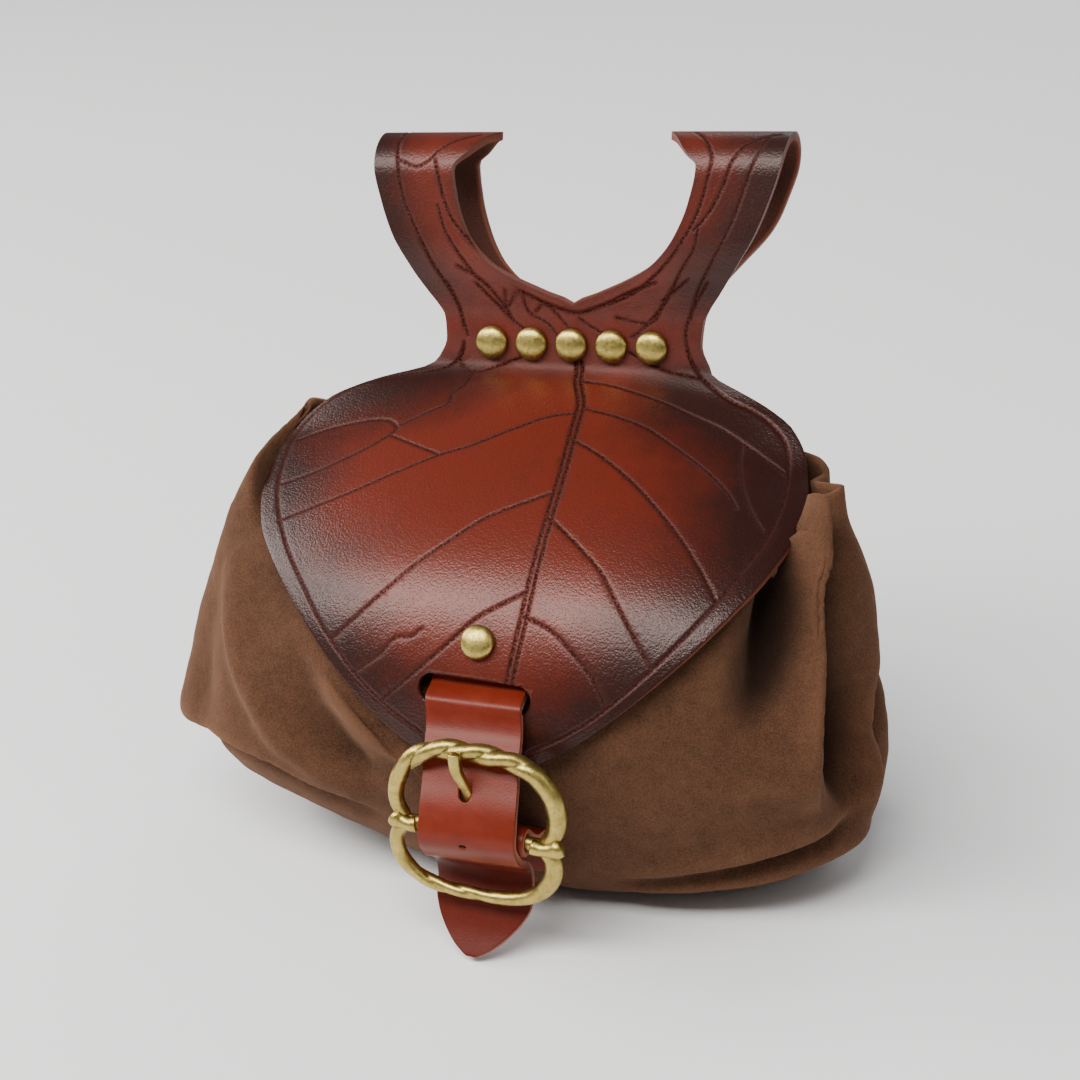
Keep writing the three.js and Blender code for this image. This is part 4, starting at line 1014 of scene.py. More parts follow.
def hoop(bm, reach, half, wire, twist_from, twist_to, handed, strand_apart):
    """One wire from the left end of the bar, over the hoop's top at reach, to the right end."""
    left = [buckle_at(-half * x, reach * rise, HOOP_OUT * rise) for rise, x in hoop_rows]
    right = [buckle_at(half * x, reach * rise, HOOP_OUT * rise) for rise, x in hoop_rows[:-1]][::-1]
    line, length = smooth_line(left + right)

    def section(run, angle):
        twist = smooth((run - twist_from) / TWIST_FADE_IN) * smooth((twist_to - run) / TWIST_FADE_OUT)
        apart = strand_apart * twist
        turned = angle - handed * 2 * np.pi * run * length / TWIST_LENGTH + TWIST_START
        strand = 1 - apart
        return apart * np.abs(np.cos(turned)) + np.sqrt(strand**2 - (apart * np.sin(turned)) ** 2)

    sleeve(bm, line, length, wire, 40, 220, section)
    return length


bm = bmesh.new()
upper_length = hoop(bm, UPPER_RISE, HOOP_HALF, upper_wire, 0.15, 0.74, 1, UPPER_TWIST)
lower_length = hoop(bm, -LOWER_DROP, HOOP_HALF - 0.4, lower_wire, 0.2, 0.62, -1, LOWER_TWIST)
print("hoops:", round(upper_length, 1), "and", round(lower_length, 1), "mm long")

# %% [markdown]
# The middle bar is plain. A collar sits on each of its ends: cut square towards the strap and drawn out
# into a rounded bud that curls up a little on the outer side.

# %% The middle bar and the collars
COLLAR_X = 14.9
bar_line, bar_length = smooth_line([buckle_at(x, 0) for x in (-EAR_X, -9, 0, 9, EAR_X)])
plain_end = curve("run radius", [
    (0, 0), (0.01, 1.2), (0.03, BAR_R), (0.5, BAR_R), (0.97, BAR_R), (0.99, 1.2), (1, 0)])
sleeve(bm, bar_line, bar_length, plain_end, 24, 40)
collar_size = curve("run radius", [
    (0, 0), (0.01, 1.8), (0.04, 2.05), (0.3, 1.85), (0.55, 2.0), (0.78, 2.6), (0.92, 2.3), (0.98, 1.2),
    (1, 0)])
for side in (-1, 1):
    reach = 1.0 if side < 0 else 1.25
    places = [buckle_at(side * (COLLAR_X + further * reach), rise, out) for further, rise, out in
              [(0, 0.0, 1.3), (1.7, -0.1, 1.4), (3.7, 0, 1.2), (5.3, 0.5, 0.8), (6.6, 1.2, 0.4)]]
    collar_line, collar_length = smooth_line(places, 0.1)
    sleeve(bm, collar_line, collar_length, collar_size, 28, 40)
buckle = in_metres(closed(bm), "buckle_frame_visual")
print("buckle:", len(buckle.data.polygons), "faces")

# %% [markdown]
# The prong was forged from flat stock, so its cross-section is a rounded square. It is bent round the
# bar in a ring, passes up through the strap and rests on the upper hoop with a blunt cut end.

# %% The prong
SQUARENESS = 3.2  # 2 would be round


def squarish(run, angle):
    sides = np.abs(np.cos(angle)) ** SQUARENESS + np.abs(np.sin(angle)) ** SQUARENESS
    return 1 / sides ** (1 / SQUARENESS)


prong_size = curve("run radius", [
    (0, 0.0), (0.01, 1.1), (0.3, 1.25), (0.55, 1.3), (0.75, 1.4), (0.95, 1.5), (0.99, 1.5), (0.998, 1.35),
    (1, 0)])
bm = bmesh.new()
sleeve(bm, prong_line, PRONG_LENGTH, prong_size, 24, 110, squarish)
RING_R = BAR_R + GAP + PRONG_R
ring_angles = [math.radians(mix(100, 430, i / 24)) for i in range(25)]
ring_line, ring_length = smooth_line([buckle_at(PRONG_X, RING_R * math.sin(a), RING_R * math.cos(a))
                                      for a in ring_angles])
ring_size = curve("run radius", [(0, 0), (0.02, 1.0), (0.05, 1.2), (0.95, 1.2), (0.98, 1.0), (1, 0)])
sleeve(bm, ring_line, ring_length, ring_size, 24, 60, squarish, facing=np.array([1.0, 0, 0]))
prong = in_metres(closed(bm), "buckle_prong_visual")
print("prong:", len(prong.data.polygons), "faces")

# %% [markdown]
# A rivet is a domed cap on a shank with a burr behind. Its profile is a few points, spun round the
# shank's axis, and each finished rivet is stood on the leather where its hole was punched.

# %% The rivets
CAP_R, CAP_RISE, SHANK_R, BURR_R, BURR_T = 4.4, 2.9, 1.5, 4, 1
DOME_FROM, DOME_POWER = 0.3, 0.85  # height of the dome's foot, and how full the dome is
DOME_STEPS = 14


def rivet_profile(grip):
    """Distance from the axis and height, from the top of the dome down to the middle of the burr."""
    angles = [math.radians(90 * k / DOME_STEPS) for k in range(DOME_STEPS + 1)]
    dome = [(CAP_R * math.sin(a), DOME_FROM + (CAP_RISE - 0.7) * math.cos(a) ** DOME_POWER) for a in angles]
    low = -(grip + 2 * GAP + 0.2)
    return dome + [(CAP_R - 0.12, 0.06), (CAP_R - 0.4, 0), (SHANK_R, 0), (SHANK_R, low), (BURR_R, low),
                   (BURR_R, low - BURR_T), (0, low - BURR_T)]


def rivet(node, u, v, grip):
    """A rivet through the flat place (u, v) of the big leather piece, that holds layers of this thickness."""
    bm = bmesh.new()
    points = [bm.verts.new((r, 0, h)) for r, h in rivet_profile(grip)]
    edges = [bm.edges.new(pair) for pair in zip(points[:-1], points[1:])]
    bmesh.ops.spin(bm, geom=points + edges, axis=(0, 0, 1), cent=(0, 0, 0), steps=48, angle=math.tau,
                   use_merge=True)
    closed(bm)
    seat = leather_point(u, v, GAP + 0.1)
    out = leather_point(u, v, 1) - leather_point(u, v, 0)
    turn = Vector(out).to_track_quat("Z", "Y").to_matrix().to_4x4()
    bmesh.ops.transform(bm, matrix=Matrix.Translation(Vector(seat)) @ turn, verts=bm.verts[:])
    return in_metres(bm, node + "_visual")


brass_pieces = {"buckle_frame": buckle, "buckle_prong": prong}
for i, (u, v) in enumerate(yoke_rivets):
    grip = SANDWICH if u else LEATHER + SUEDE + 1.5 * GAP
    brass_pieces[f"yoke_rivet_{i + 1}"] = rivet(f"yoke_rivet_{i + 1}", u, v, grip)
brass_pieces["flap_rivet"] = rivet("flap_rivet", *FLAP_RIVET, LEATHER + STRAP_LEATHER + 3 * GAP)
for node, piece in brass_pieces.items():
    stands_for(piece, node)
print(len(brass_pieces), "brass pieces")

# %% [markdown]
# ## The suede pouch
# The pouch is a sewn bag of soft suede. It could be left to a cloth simulation, but its folds then fall
# where they like. Here the bag is a loft of level rings, and each fold is modelled one by one: a line that
# the fold follows down the bag, with its height, the width of both its slopes and how far it leans over.

# %% Rings of the pouch
BELT_Z = 50  # the height at which the way round the bag is measured
ring_of = {name: along(pouch_rows, "z", name) for name in "half across front back square tuck".split()}


def tucked(x, s, z):
    """How far back the foot of the bag is tucked at its front left; s is -1 in front and 1 behind."""
    return ring_of["tuck"](z) * smooth(-x / 65) * smooth(0.5 - s)


def ring_point(angle, z):
    """The plain bag: a place at an angle (0 is +X, 90 is the back) and a height."""
    c, s = np.cos(np.radians(angle)), np.sin(np.radians(angle))
    power = 2 / ring_of["square"](z)
    front, back = ring_of["front"](z), ring_of["back"](z)
    x = ring_of["across"](z) + ring_of["half"](z) * np.sign(c) * np.abs(c) ** power
    y = (front + back) / 2 + (back - front) / 2 * np.sign(s) * np.abs(s) ** power
    y = y + tucked(x, s, z)
    return np.stack([x, y, np.broadcast_to(z, x.shape)], -1)


turns = np.linspace(-180, 180, 1441)
belt = ring_point(turns, np.full(turns.shape, float(BELT_Z)))
belt_run = np.concatenate([[0], np.cumsum(np.linalg.norm(np.diff(belt, axis=0), axis=1))])
BELT = float(belt_run[-1])


def along_belt(angle):
    """Millimetres round the bag from the left (-180 degrees) to an angle."""
    return np.interp(angle, turns, belt_run)


print("the pouch is", round(BELT), "mm round")

# %% [markdown]
# Standing folds run up the bag. Each row gives the height z, where the fold's crest is round the bag,
# how high it stands (a hollow is negative), the widths of its slopes towards the front and towards the
# back, and how far its crest leans to the back, which is what makes a fold hang over its neighbour.

# %% Standing folds
STANDING = {
    "hollow under the flap's right edge": [
        (112, -20, -9, 5, 5, 0), (98, -21, -15, 7, 6, 0), (90, -24.5, -21, 8, 7, 0),
        (82, -29, -23, 9, 7.5, 0), (74, -33.5, -21, 9.5, 8, 0), (66, -37, -15, 9.5, 8, 0),
        (58, -40, -8, 9, 8.5, 0), (50, -42, -3, 9, 9, 0), (43, -43, 0, 9, 9, 0)],
    "first roll": [(112, -13, 6, 4, 3, 1), (98, -14.5, 8, 4.2, 3, 1.5), (84, -21.5, 9.5, 5, 3.2, 2.5),
                   (72, -26.5, 9, 6.5, 3.4, 3), (60, -31, 8.5, 9, 3.6, 3.2), (50, -33.5, 8, 12, 3.8, 3.4),
                   (42, -34.5, 6, 12, 3.6, 3), (35, -33, 2.5, 11, 4, 1.5), (27, -31, 0, 11, 5, 0)],
    "deep pocket": [(112, -2, -6, 3.4, 3.5, 0), (98, -3, -10, 4.4, 4.6, 0), (84, -8.5, -15, 6, 6.5, 0),
                    (72, -11.5, -19, 7, 9.5, 0), (60, -12, -23, 8, 12, 0), (50, -11.5, -25, 9, 14, 0),
                    (42, -12, -22, 9, 14, 0), (35, -14, -13, 8, 11, 0), (29, -16, -4, 7, 8, 0),
                    (24, -18, 0, 6, 8, 0)],
    "second roll": [(112, 4.5, 2.5, 4, 4, 1), (98, 6.5, 2.5, 4.5, 4, 1), (84, 7.5, 2.4, 5, 4, 1),
                    (68, 7, 2.4, 5.5, 4, 1), (52, 4.5, 3.6, 6, 4.5, 1.2), (40, 0, 4.5, 7, 5, 1.2),
                    (28, -6, 3, 8, 6, 1), (18, -10, 1, 9, 9, 0), (8, -12, 0, 9, 9, 0)],
    "cleft behind the second roll": [(112, 13, -4, 3, 4, 0), (98, 16, -4.5, 3, 4, 0), (84, 17, -5, 3, 4.5, 0),
                                    (60, 15, -6.5, 3, 5, 0), (46, 10, -7, 3.2, 5, 0), (34, 4, -5, 3.5, 6, 0),
                                    (24, -1, -2, 4, 7, 0), (14, -4, 0, 4, 7, 0)],
    "third roll": [(112, 22, 1, 5, 7, 0), (90, 22, 1, 6, 8, 0), (60, 21, 1, 7, 10, 0), (44, 17, 2, 7, 11, 0),
                   (30, 12, 2, 8, 11, 0), (16, 8, 0.5, 8, 10, 0), (8, 8, 0, 8, 10, 0)],
    "diagonal fold on the left": [(86, -160, 0, 7, 7, 0), (78, -151, 2.6, 7, 7, 0), (66, -139, 4, 6.5, 7, -1),
                                  (55, -128, 4, 6, 7, -1), (45, -119, 3.4, 6, 7, -1), (37, -111, 2, 6, 7, 0),
                                  (29, -104, 0, 7, 7, 0)],
    "hollow beside it": [(70, -122, 0, 6, 7, 0), (60, -117, -2, 6, 7, 0), (48, -110, -4, 6, 7, 0),
                         (40, -103, -4.4, 6, 7, 0), (33, -96, -2.6, 6, 7, 0), (26, -90, 0, 6, 7, 0)],
    "broad band above it": [(80, -128, 0, 8, 8, 0), (70, -118, 1.6, 8, 8, 0), (58, -108, 3, 7, 8, 0),
                            (48, -99, 3, 7, 8, 0), (40, -91, 1.2, 7, 8, 0), (34, -86, 0, 8, 8, 0)],
    "flat of the left side": [(76, -165, 0, 9, 9, 0), (64, -158, -2.6, 9, 9, 0), (50, -150, -3.4, 10, 8, 0),
                              (41, -144, -2, 10, 8, 0), (32, -142, 0, 9, 9, 0)],
    "small pucker": [(92, -131, 0, 2, 2, 0), (87, -130.5, 1.8, 2, 1.6, 0), (82, -129.5, 1.6, 2, 1.6, 0),
                     (76, -128.5, 0, 2, 2, 0)],
    "left back fold": [(112, 150, 1, 8, 8, 0), (94, 150, 2.4, 8, 8, 0), (70, 149, 1.8, 8, 8, 0),
                       (46, 149, 0, 8, 8, 0)],
    "back hollow on the left": [(106, 136, -2, 7, 8, 0), (90, 136, -2.6, 7, 8, 0), (66, 136, -1.6, 8, 8, 0),
                                (44, 136, 0, 8, 8, 0)],
    "back hollow on the right": [(106, 44, -2.4, 6, 7, 0), (88, 43, -3.2, 6, 7, 0), (62, 42, -2.4, 8, 9, 0),
                                 (38, 40, 0, 8, 9, 0)],
    "back fold on the right": [(104, 58, 1.6, 5, 6, 0), (84, 58, 2.6, 6, 8, 0), (58, 58, 2, 8, 9, 0),
                               (34, 58, 0, 8, 9, 0)],
}
print(len(STANDING), "standing folds and hollows")

# %% [markdown]
# Lying folds run round the foot of the bag, where the suede settles. Their rows give the angle, the
# height, how far the fold stands out, and its widths upwards and downwards.

# %% Lying folds
LYING = {
    "upper foot fold": [(-92, 13, 0, 4, 3), (-75, 15.5, 1.0, 4, 2.6), (-57, 19.5, 2, 4, 2.2),
                        (-44, 23.5, 2.6, 4.5, 2), (-34, 26, 3, 4.5, 2), (-24, 28, 2.6, 4.5, 2.2),
                        (-15, 30, 1.4, 4.5, 2.6), (-6, 33, 0, 4, 3)],
    "crease below it": [(-90, 10, 0, 2.4, 2.4), (-70, 12.5, -1.2, 2.2, 2.4), (-52, 16.5, -2.2, 2, 2.4),
                        (-36, 20.5, -2.8, 2, 2.4), (-24, 22.5, -2.4, 2, 2.4), (-14, 24.5, -1.2, 2.2, 2.4),
                        (-6, 27, 0, 2.4, 2.4)],
    "lower foot fold": [(-84, 6.5, 0, 3, 2), (-66, 9, 1.2, 3, 1.8), (-48, 12.5, 2, 3, 1.6),
                        (-32, 15.5, 2.4, 3, 1.6), (-16, 17, 2.2, 3, 1.7), (-2, 19, 1.4, 3, 1.8),
                        (12, 22, 0, 3, 2)],
    "foot crease": [(-80, 4, 0, 1.6, 2), (-60, 5.5, -1.4, 1.4, 2.2), (-44, 8.2, -2.4, 1.3, 2.4),
                    (-28, 10.8, -3, 1.3, 2.8), (-12, 12.4, -3, 1.3, 2.8), (4, 14, -2, 1.4, 2.8),
                    (20, 15, 0, 1.6, 2.8)],
    "overhang on the left": [(-180, 36, 0, 9, 1.5), (-170, 36.5, 1.8, 9, 1.3), (-155, 38, 3.4, 10, 1.2),
                             (-138, 40, 3.6, 10, 1.2), (-124, 38.5, 3, 10, 1.3), (-112, 32, 1.8, 9, 1.6),
                             (-100, 26, 0, 8, 2.4)],
    "shadow under it": [(-180, 33, 0, 1.5, 5), (-170, 33.5, -2.6, 1.3, 6), (-155, 35, -4.6, 1.2, 6.5),
                        (-138, 37, -4.8, 1.2, 6.5), (-124, 35.5, -3.8, 1.2, 6), (-112, 29, -2.2, 1.5, 5),
                        (-100, 23, 0, 2, 5)],
    "sag at the back": [(40, 14, 0, 6, 4), (70, 18, 1.4, 7, 4), (100, 19, 1.8, 7, 4), (130, 20, 1.4, 7, 4),
                        (160, 24, 0, 6, 4)],
    "crease at the back": [(50, 10, 0, 3, 4), (76, 12, -1.2, 3, 4), (104, 13, -1.5, 3, 4),
                           (132, 14, -1, 3, 4), (156, 18, 0, 3, 4)],
}
print(len(LYING), "lying folds and creases")

# %% [markdown]
# All the folds are added up. Each place on the bag moves outwards with the folds that pass it, sideways
# where a standing fold leans, and down where a lying fold sags. Where the short strap and the buckle
# press on the front, the bag stays flat.

# %% Adding up the folds
SAG = 0.5  # a lying fold sinks by this share of its height


def slopes(distance, before, after):
    """1 on the crest, falling off with one width on each side."""
    return np.exp(-(distance / np.where(distance < 0, before, after)) ** 2)


def stay_clear(angle, z):
    """0 where the bag is held flat by the short strap and the buckle in front of it, 1 elsewhere."""
    in_front = smooth((20 - np.abs(angle + 88)) / 8) * smooth((46 - z) / 8)
    return 1 - in_front


def fold_moves(angle, z):
    """How far each place moves outwards, round the bag and down."""
    run = along_belt(angle)
    out, round_it, down = np.zeros_like(z), np.zeros_like(z), np.zeros_like(z)
    for table in STANDING.values():
        low_first = sorted(rows("z at high near far lean", table), key=lambda row: row["z"])
        columns = [along(low_first, "z", name)(z) for name in ("at", "high", "near", "far", "lean")]
        at, high, near, far, lean = columns
        away = (run - along_belt((at + 180) % 360 - 180) + BELT / 2) % BELT - BELT / 2
        here = slopes(away, near, far)
        out += high * here
        round_it += lean * here
    for table in LYING.values():
        table = rows("at z high up down", table)
        first, last = table[0]["at"], table[-1]["at"]
        at, high, up, drop = [along(table, "at", name)(angle) for name in "z high up down".split()]
        shown = (angle >= first) & (angle <= last)
        here = slopes(z - at, drop, up) * shown
        out += high * here
        down += SAG * np.maximum(high, 0) * here
    return out * stay_clear(angle, z), round_it, down


moved_out = fold_moves(turns, np.full(turns.shape, float(BELT_Z)))[0]
print("folds at half height: from", round(float(moved_out.min())), "to", round(float(moved_out.max())), "mm")

# %% [markdown]
# The flap lies on the bag, so the suede has to stay under it. The underside of the flap is kept as a
# search tree of places seen from above, each with its height and slope. Beside the flap the suede is
# free to rise again, and the closing strap under the flap takes some room of its own.

# %% Room under the flap
UNDER_GAP = 0.7
SETTLE = 1.5  # the suede bends over this height where it comes against the flap
NEAR_FLAP = 14  # beyond this distance from the flap the suede is free
BESIDE_FLAP, RISE_BESIDE = 1.6, 9  # from this far out the room grows, by this much for each millimetre
STEEPEST = 0.25  # a steeper underside is treated as this steep, or the room would have no limit
under_u, under_v = np.meshgrid(np.linspace(-1, 1, 121), np.arange(0, 121, 1.0))
under_half = flap_half(under_v)
under_places = leather_point((under_u * under_half).ravel(), under_v.ravel(), -LEATHER)
under_up = unit(leather_point((under_u * under_half).ravel(), under_v.ravel(), 0) - under_places)
beside_strap = np.abs(under_places[:, 0] - STRAP_X)
under_strap = (STRAP_LEATHER + 3 * GAP) * smooth((17 - beside_strap) / 4)
under_strap *= smooth((under_v.ravel() - 74) / 6)
under_tree = tree_of(under_places)


def room_under_flap(places):
    """The greatest height for each place under the flap; outside its outline the room grows quickly."""
    top = np.full(len(places), 1000.0)
    for i, (x, y, _) in enumerate(places):
        (nx, ny, _), found, away = under_tree.find((x, y, 0))
        if away < NEAR_FLAP:
            up = under_up[found]
            level = max(STEEPEST, up[2])
            slope = -((x - nx) * up[0] + (y - ny) * up[1]) / level
            spare = (UNDER_GAP + under_strap[found]) / level
            top[i] = under_places[found][2] + slope - spare + max(0, away - BESIDE_FLAP) * RISE_BESIDE
    return top


print("the flap's underside is read at", len(under_places), "places")

# %% [markdown]
# Now the finished outside of the bag, as a function of the angle and of the share of the way up. The top
# follows the mouth's edge: high at the gathered corners, low under the flap, and up behind the yoke,
# where the middle is clamped by the rivets.

# %% The outside of the pouch
MOUTH_Z = 103
mouth_edge = curve("at z", [
    (-180, 112), (-174, 111), (-167, 106), (-158, 99), (-135, 93), (-90, 86), (-50, 92), (-36, 96),
    (-27, 101), (-20, 106.5), (-14, 108), (-8, 107), (-4, 103.5), (0, 103), (6, 103.5), (12, 103), (20, 103),
    (30, 105.5), (38, 105.5), (46, 102), (60, 103), (65, 110), (70, 121), (75, 130), (90, 131), (105, 130),
    (110, 121), (115, 111), (120, 106), (135, 105), (150, 109), (160, 112), (170, 113), (180, 112)])
CLAMPED_HALF = 46  # half the width of what the yoke clamps
SUEDE_BEHIND = CREASE[0] + (LEATHER + 1.5 * GAP + SUEDE) / math.cos(YOKE_LEAN)


def pouch_point(angle, share):
    """The finished outside of the bag at an angle and a share of the way up."""
    height = MOUTH_Z * share
    plain = ring_point(angle, height)
    ahead = unit(ring_point(angle + 0.5, height) - ring_point(angle - 0.5, height))
    outward = np.stack([ahead[:, 1], -ahead[:, 0], np.zeros(len(angle))], -1)
    stretched = height + (mouth_edge(angle) - MOUTH_Z) * smooth((share - 0.45) / 0.55)
    out, round_it, down = fold_moves(angle, stretched)
    places = plain + outward * out[:, None] + ahead * round_it[:, None]
    places[:, 2] = np.maximum(stretched - down * smooth(stretched / 12), 0)
    clamp = (np.abs(places[:, 0]) < CLAMPED_HALF) & (places[:, 1] > CREASE[0] - 8)
    clamped_y = SUEDE_BEHIND + (places[:, 2] - CREASE[1]) * math.tan(YOKE_LEAN)
    held = smooth((places[:, 2] - 92) / 10) * smooth((CLAMPED_HALF - np.abs(places[:, 0])) / 4)
    places[clamp, 1] = mix(places[:, 1], clamped_y, held)[clamp]
    front = places[:, 1] < CREASE[0] + 3
    top = room_under_flap(places)
    over = np.clip((places[:, 2] - top) / SETTLE, -1, 1)
    eased = places[:, 2] - SETTLE * (over + 1) ** 2 / 4
    under = np.where(over >= 1, top, eased)
    places[:, 2] = np.where(front & (over > -1), under, places[:, 2])
    return places


front_middle = pouch_point(np.array([-90.0]), np.array([1.0]))[0]
print("the front of the mouth lies at", [round(float(x)) for x in front_middle])

# %% [markdown]
# The wall is a grid of columns and rows, closed where its left and right ends meet. Its floor is drawn
# in from the lowest ring by extruding that ring inwards a few times, and filled in the middle.

# %% Wall and floor of the pouch
POUCH_COLUMNS, POUCH_ROWS = 330, 104
ROWS_EVEN = 0.45  # 0 would crowd the rows at the foot, where the folds are small, and 1 space them evenly
FLOOR_MIDDLE = Vector((8, 8, 0))
FLOOR_R = 50
FLOOR_RINGS = (0.9, 0.72, 0.5, 0.28, 0.12)


def wall_place(s, t):
    angle = np.where(s > 0.9999, -180.0, np.interp(s * BELT, belt_run, turns))
    return pouch_point(angle, mix(t * t, t, ROWS_EVEN))


def even_out(bm, verts, factor):
    bmesh.ops.smooth_vert(bm, verts=verts, factor=factor, use_axis_x=True, use_axis_y=True, use_axis_z=True)


bm = bmesh.new()
grid(bm, POUCH_COLUMNS, POUCH_ROWS, wall_place)
bmesh.ops.remove_doubles(bm, verts=bm.verts[:], dist=SLIVER)
rim = [e for e in bm.edges if e.is_boundary and max(v.co.z for v in e.verts) < 3]
for shrink in FLOOR_RINGS:
    grown = bmesh.ops.extrude_edge_only(bm, edges=rim)["geom"]
    inner = [g for g in grown if isinstance(g, bmesh.types.BMVert)]
    rim = [g for g in grown if isinstance(g, bmesh.types.BMEdge)]
    size = sum((v.co - FLOOR_MIDDLE).length for v in inner) / len(inner)
    to_size = FLOOR_R / size if shrink < FLOOR_RINGS[0] else 1
    for v in inner:
        v.co = FLOOR_MIDDLE + (v.co - FLOOR_MIDDLE) * shrink * to_size
        v.co.z = 0
bmesh.ops.contextual_create(bm, geom=rim)
bmesh.ops.recalc_face_normals(bm, faces=bm.faces[:])
if max(bm.faces, key=lambda f: f.calc_center_median().x).normal.x < 0:
    bmesh.ops.reverse_faces(bm, faces=bm.faces[:])
print("pouch wall:", len(bm.faces), "faces")

# %% [markdown]
# The folds meet in small steps, so the wall is evened out a little. At the left corner of the mouth the
# rows are pressed together under the flap, and there the rim and the wall below it are evened more.

# %% Evening out the wall and its left corner
for _ in range(2):
    even_out(bm, [v for v in bm.verts if 1 < v.co.z < 90 and not v.is_boundary], 0.35)
mouth = [v for v in bm.verts if v.is_boundary and v.co.x < -45]
left_corner = [v for v in bm.verts if v.co.z > 84 and v.co.x < -50 and not v.is_boundary]
for _ in range(5):
    between = [sum((e.other_vert(v).co for e in v.link_edges if e.is_boundary), Vector()) / 2 for v in mouth]
    for v, spot in zip(mouth, between):
        v.co = v.co.lerp(spot, 0.5)
    even_out(bm, left_corner, 0.5)
print("evened:", len(left_corner), "points of the left corner,", len(mouth), "on its rim")

# %% [markdown]
# Suede is never quite smooth: a slight unevenness all over is added from a noise field. Then the wall
# gets its holes for the rivets, where the yoke clamps it, and its thickness inwards.

# %% Unevenness, rivet holes and thickness
WAVE, RIPPLE_ON_WAVE = 0.5, 0.16
UNEVEN_FROM, UNEVEN_TO = 0.5, 90  # heights: the foot stays flat, and the clamped part smooth
NEAR_RIVET, CLEAR_OF_HOLE = 12, 0.4
for v in bm.verts:
    away = v.co * 0.06
    wave = noise.noise(away) * WAVE + noise.noise(away * 3.1 + Vector((7, 3, 1))) * RIPPLE_ON_WAVE
    uneven = UNEVEN_FROM <= v.co.z <= UNEVEN_TO
    v.co += v.normal * wave * (min(1.0, (v.co.z - UNEVEN_FROM) / 8) if uneven else 0.0)
suede_area = sum(f.calc_area() for f in bm.faces) * MM * MM
for u, v in yoke_rivets:
    seat = Vector(leather_point(u, v))
    out = (Vector(leather_point(u, v, 1)) - seat).normalized()
    beside = [(f.calc_center_median() - seat, f) for f in bm.faces]
    punched_out = [f for way, f in beside
                   if way.length < NEAR_RIVET and way.cross(out).length < SHANK_HOLE + CLEAR_OF_HOLE]
    bmesh.ops.delete(bm, geom=punched_out, context="FACES")
bmesh.ops.scale(bm, verts=bm.verts[:], vec=(MM, MM, MM))
pouch = mesh_object("pouch_visual", bm)
wall = pouch.modifiers.new("wall", "SOLIDIFY")
wall.thickness = SUEDE * MM
wall.offset = -1
wall.use_rim = True
applied(pouch)
shade_smooth(pouch)
stands_for(pouch, "pouch")
print("pouch:", len(pouch.data.polygons), "faces,", round(suede_area, 4), "square metres of suede")

# %% [markdown]
# ## Materials
# Three finishes are needed: leather, suede and brass. What they share is built once as node groups: a
# cloudy mottle, the pebbled grain of leather, and the raw look of leather where it was cut or split.
# Helpers come first, so that a node with its values and links reads as one line.

# %% Small helpers for node trees
def fill(tree, made, inputs):
    """Each input of a node gets its value, or a link from the socket that feeds it."""
    for name, value in inputs.items():
        if isinstance(value, bpy.types.NodeSocket):
            tree.links.new(value, made.inputs[name])
        else:
            made.inputs[name].default_value = value
    return made


def add(tree, kind, inputs, **settings):
    made = tree.nodes.new("ShaderNode" + kind)
    for name, value in settings.items():
        setattr(made, name, value)
    return fill(tree, made, inputs)


def maths(tree, operation, *values, clamp=False):
    made = add(tree, "Math", dict(enumerate(values)), operation=operation, use_clamp=clamp)
    return made.outputs[0]


def times(tree, value, other):
    return maths(tree, "MULTIPLY", value, other)


def plus(tree, value, other, share, clamp=False):
    """value + other * share."""
    return maths(tree, "ADD", value, times(tree, other, share), clamp=clamp)


def from_middle(tree, value):
    """A value between 0 and 1 as a step up or down from its middle."""
    return maths(tree, "SUBTRACT", value, 0.5)


def blend_colour(tree, share, low, high):
    low, high = [(*colour, 1) if isinstance(colour, tuple) else colour for colour in (low, high)]
    return add(tree, "Mix", {0: share, 6: low, 7: high}, data_type="RGBA").outputs[2]


def limits(tree, value, from_low, from_high, to_low=0.0, to_high=1.0):
    """A value between two limits, stretched smoothly to two others."""
    made = add(tree, "MapRange", {"Value": value, "From Min": from_low, "From Max": from_high,
                                  "To Min": to_low, "To Max": to_high}, interpolation_type="SMOOTHSTEP")
    return made.outputs["Result"]


def noise_of(tree, vector, scale, detail, roughness=0.5):
    made = add(tree, "TexNoise", {"Vector": vector, "Scale": scale, "Detail": detail, "Roughness": roughness})
    return made.outputs["Fac"]


def mask_of(tree, name):
    return add(tree, "Attribute", {}, attribute_name=name).outputs["Fac"]


print("helpers for nodes are ready")

# %% [markdown]
# A node group is a small tree of its own with named inputs and outputs. It is built once, and each
# material that uses it gives it values of its own.

# %% Helpers for node groups
def new_group(name, inputs, outputs):
    """An empty node group; inputs and outputs are (name, socket type, default) and (name, socket type)."""
    group = bpy.data.node_groups.new(name, "ShaderNodeTree")
    for label, kind, default in inputs:
        socket = group.interface.new_socket(name=label, in_out="INPUT", socket_type="NodeSocket" + kind)
        if default is not None:
            socket.default_value = default
    for label, kind in outputs:
        group.interface.new_socket(name=label, in_out="OUTPUT", socket_type="NodeSocket" + kind)
    return group, group.nodes.new("NodeGroupInput").outputs, group.nodes.new("NodeGroupOutput").inputs


def use_group(tree, group, inputs):
    made = tree.nodes.new("ShaderNodeGroup")
    made.node_tree = group
    return fill(tree, made, inputs).outputs


print("node groups so far:", len(bpy.data.node_groups))

# %% [markdown]
# Nothing that was dyed by hand is even. The mottle is made of soft clouds of two sizes, and its contrast
# says how far the value swings from the middle.

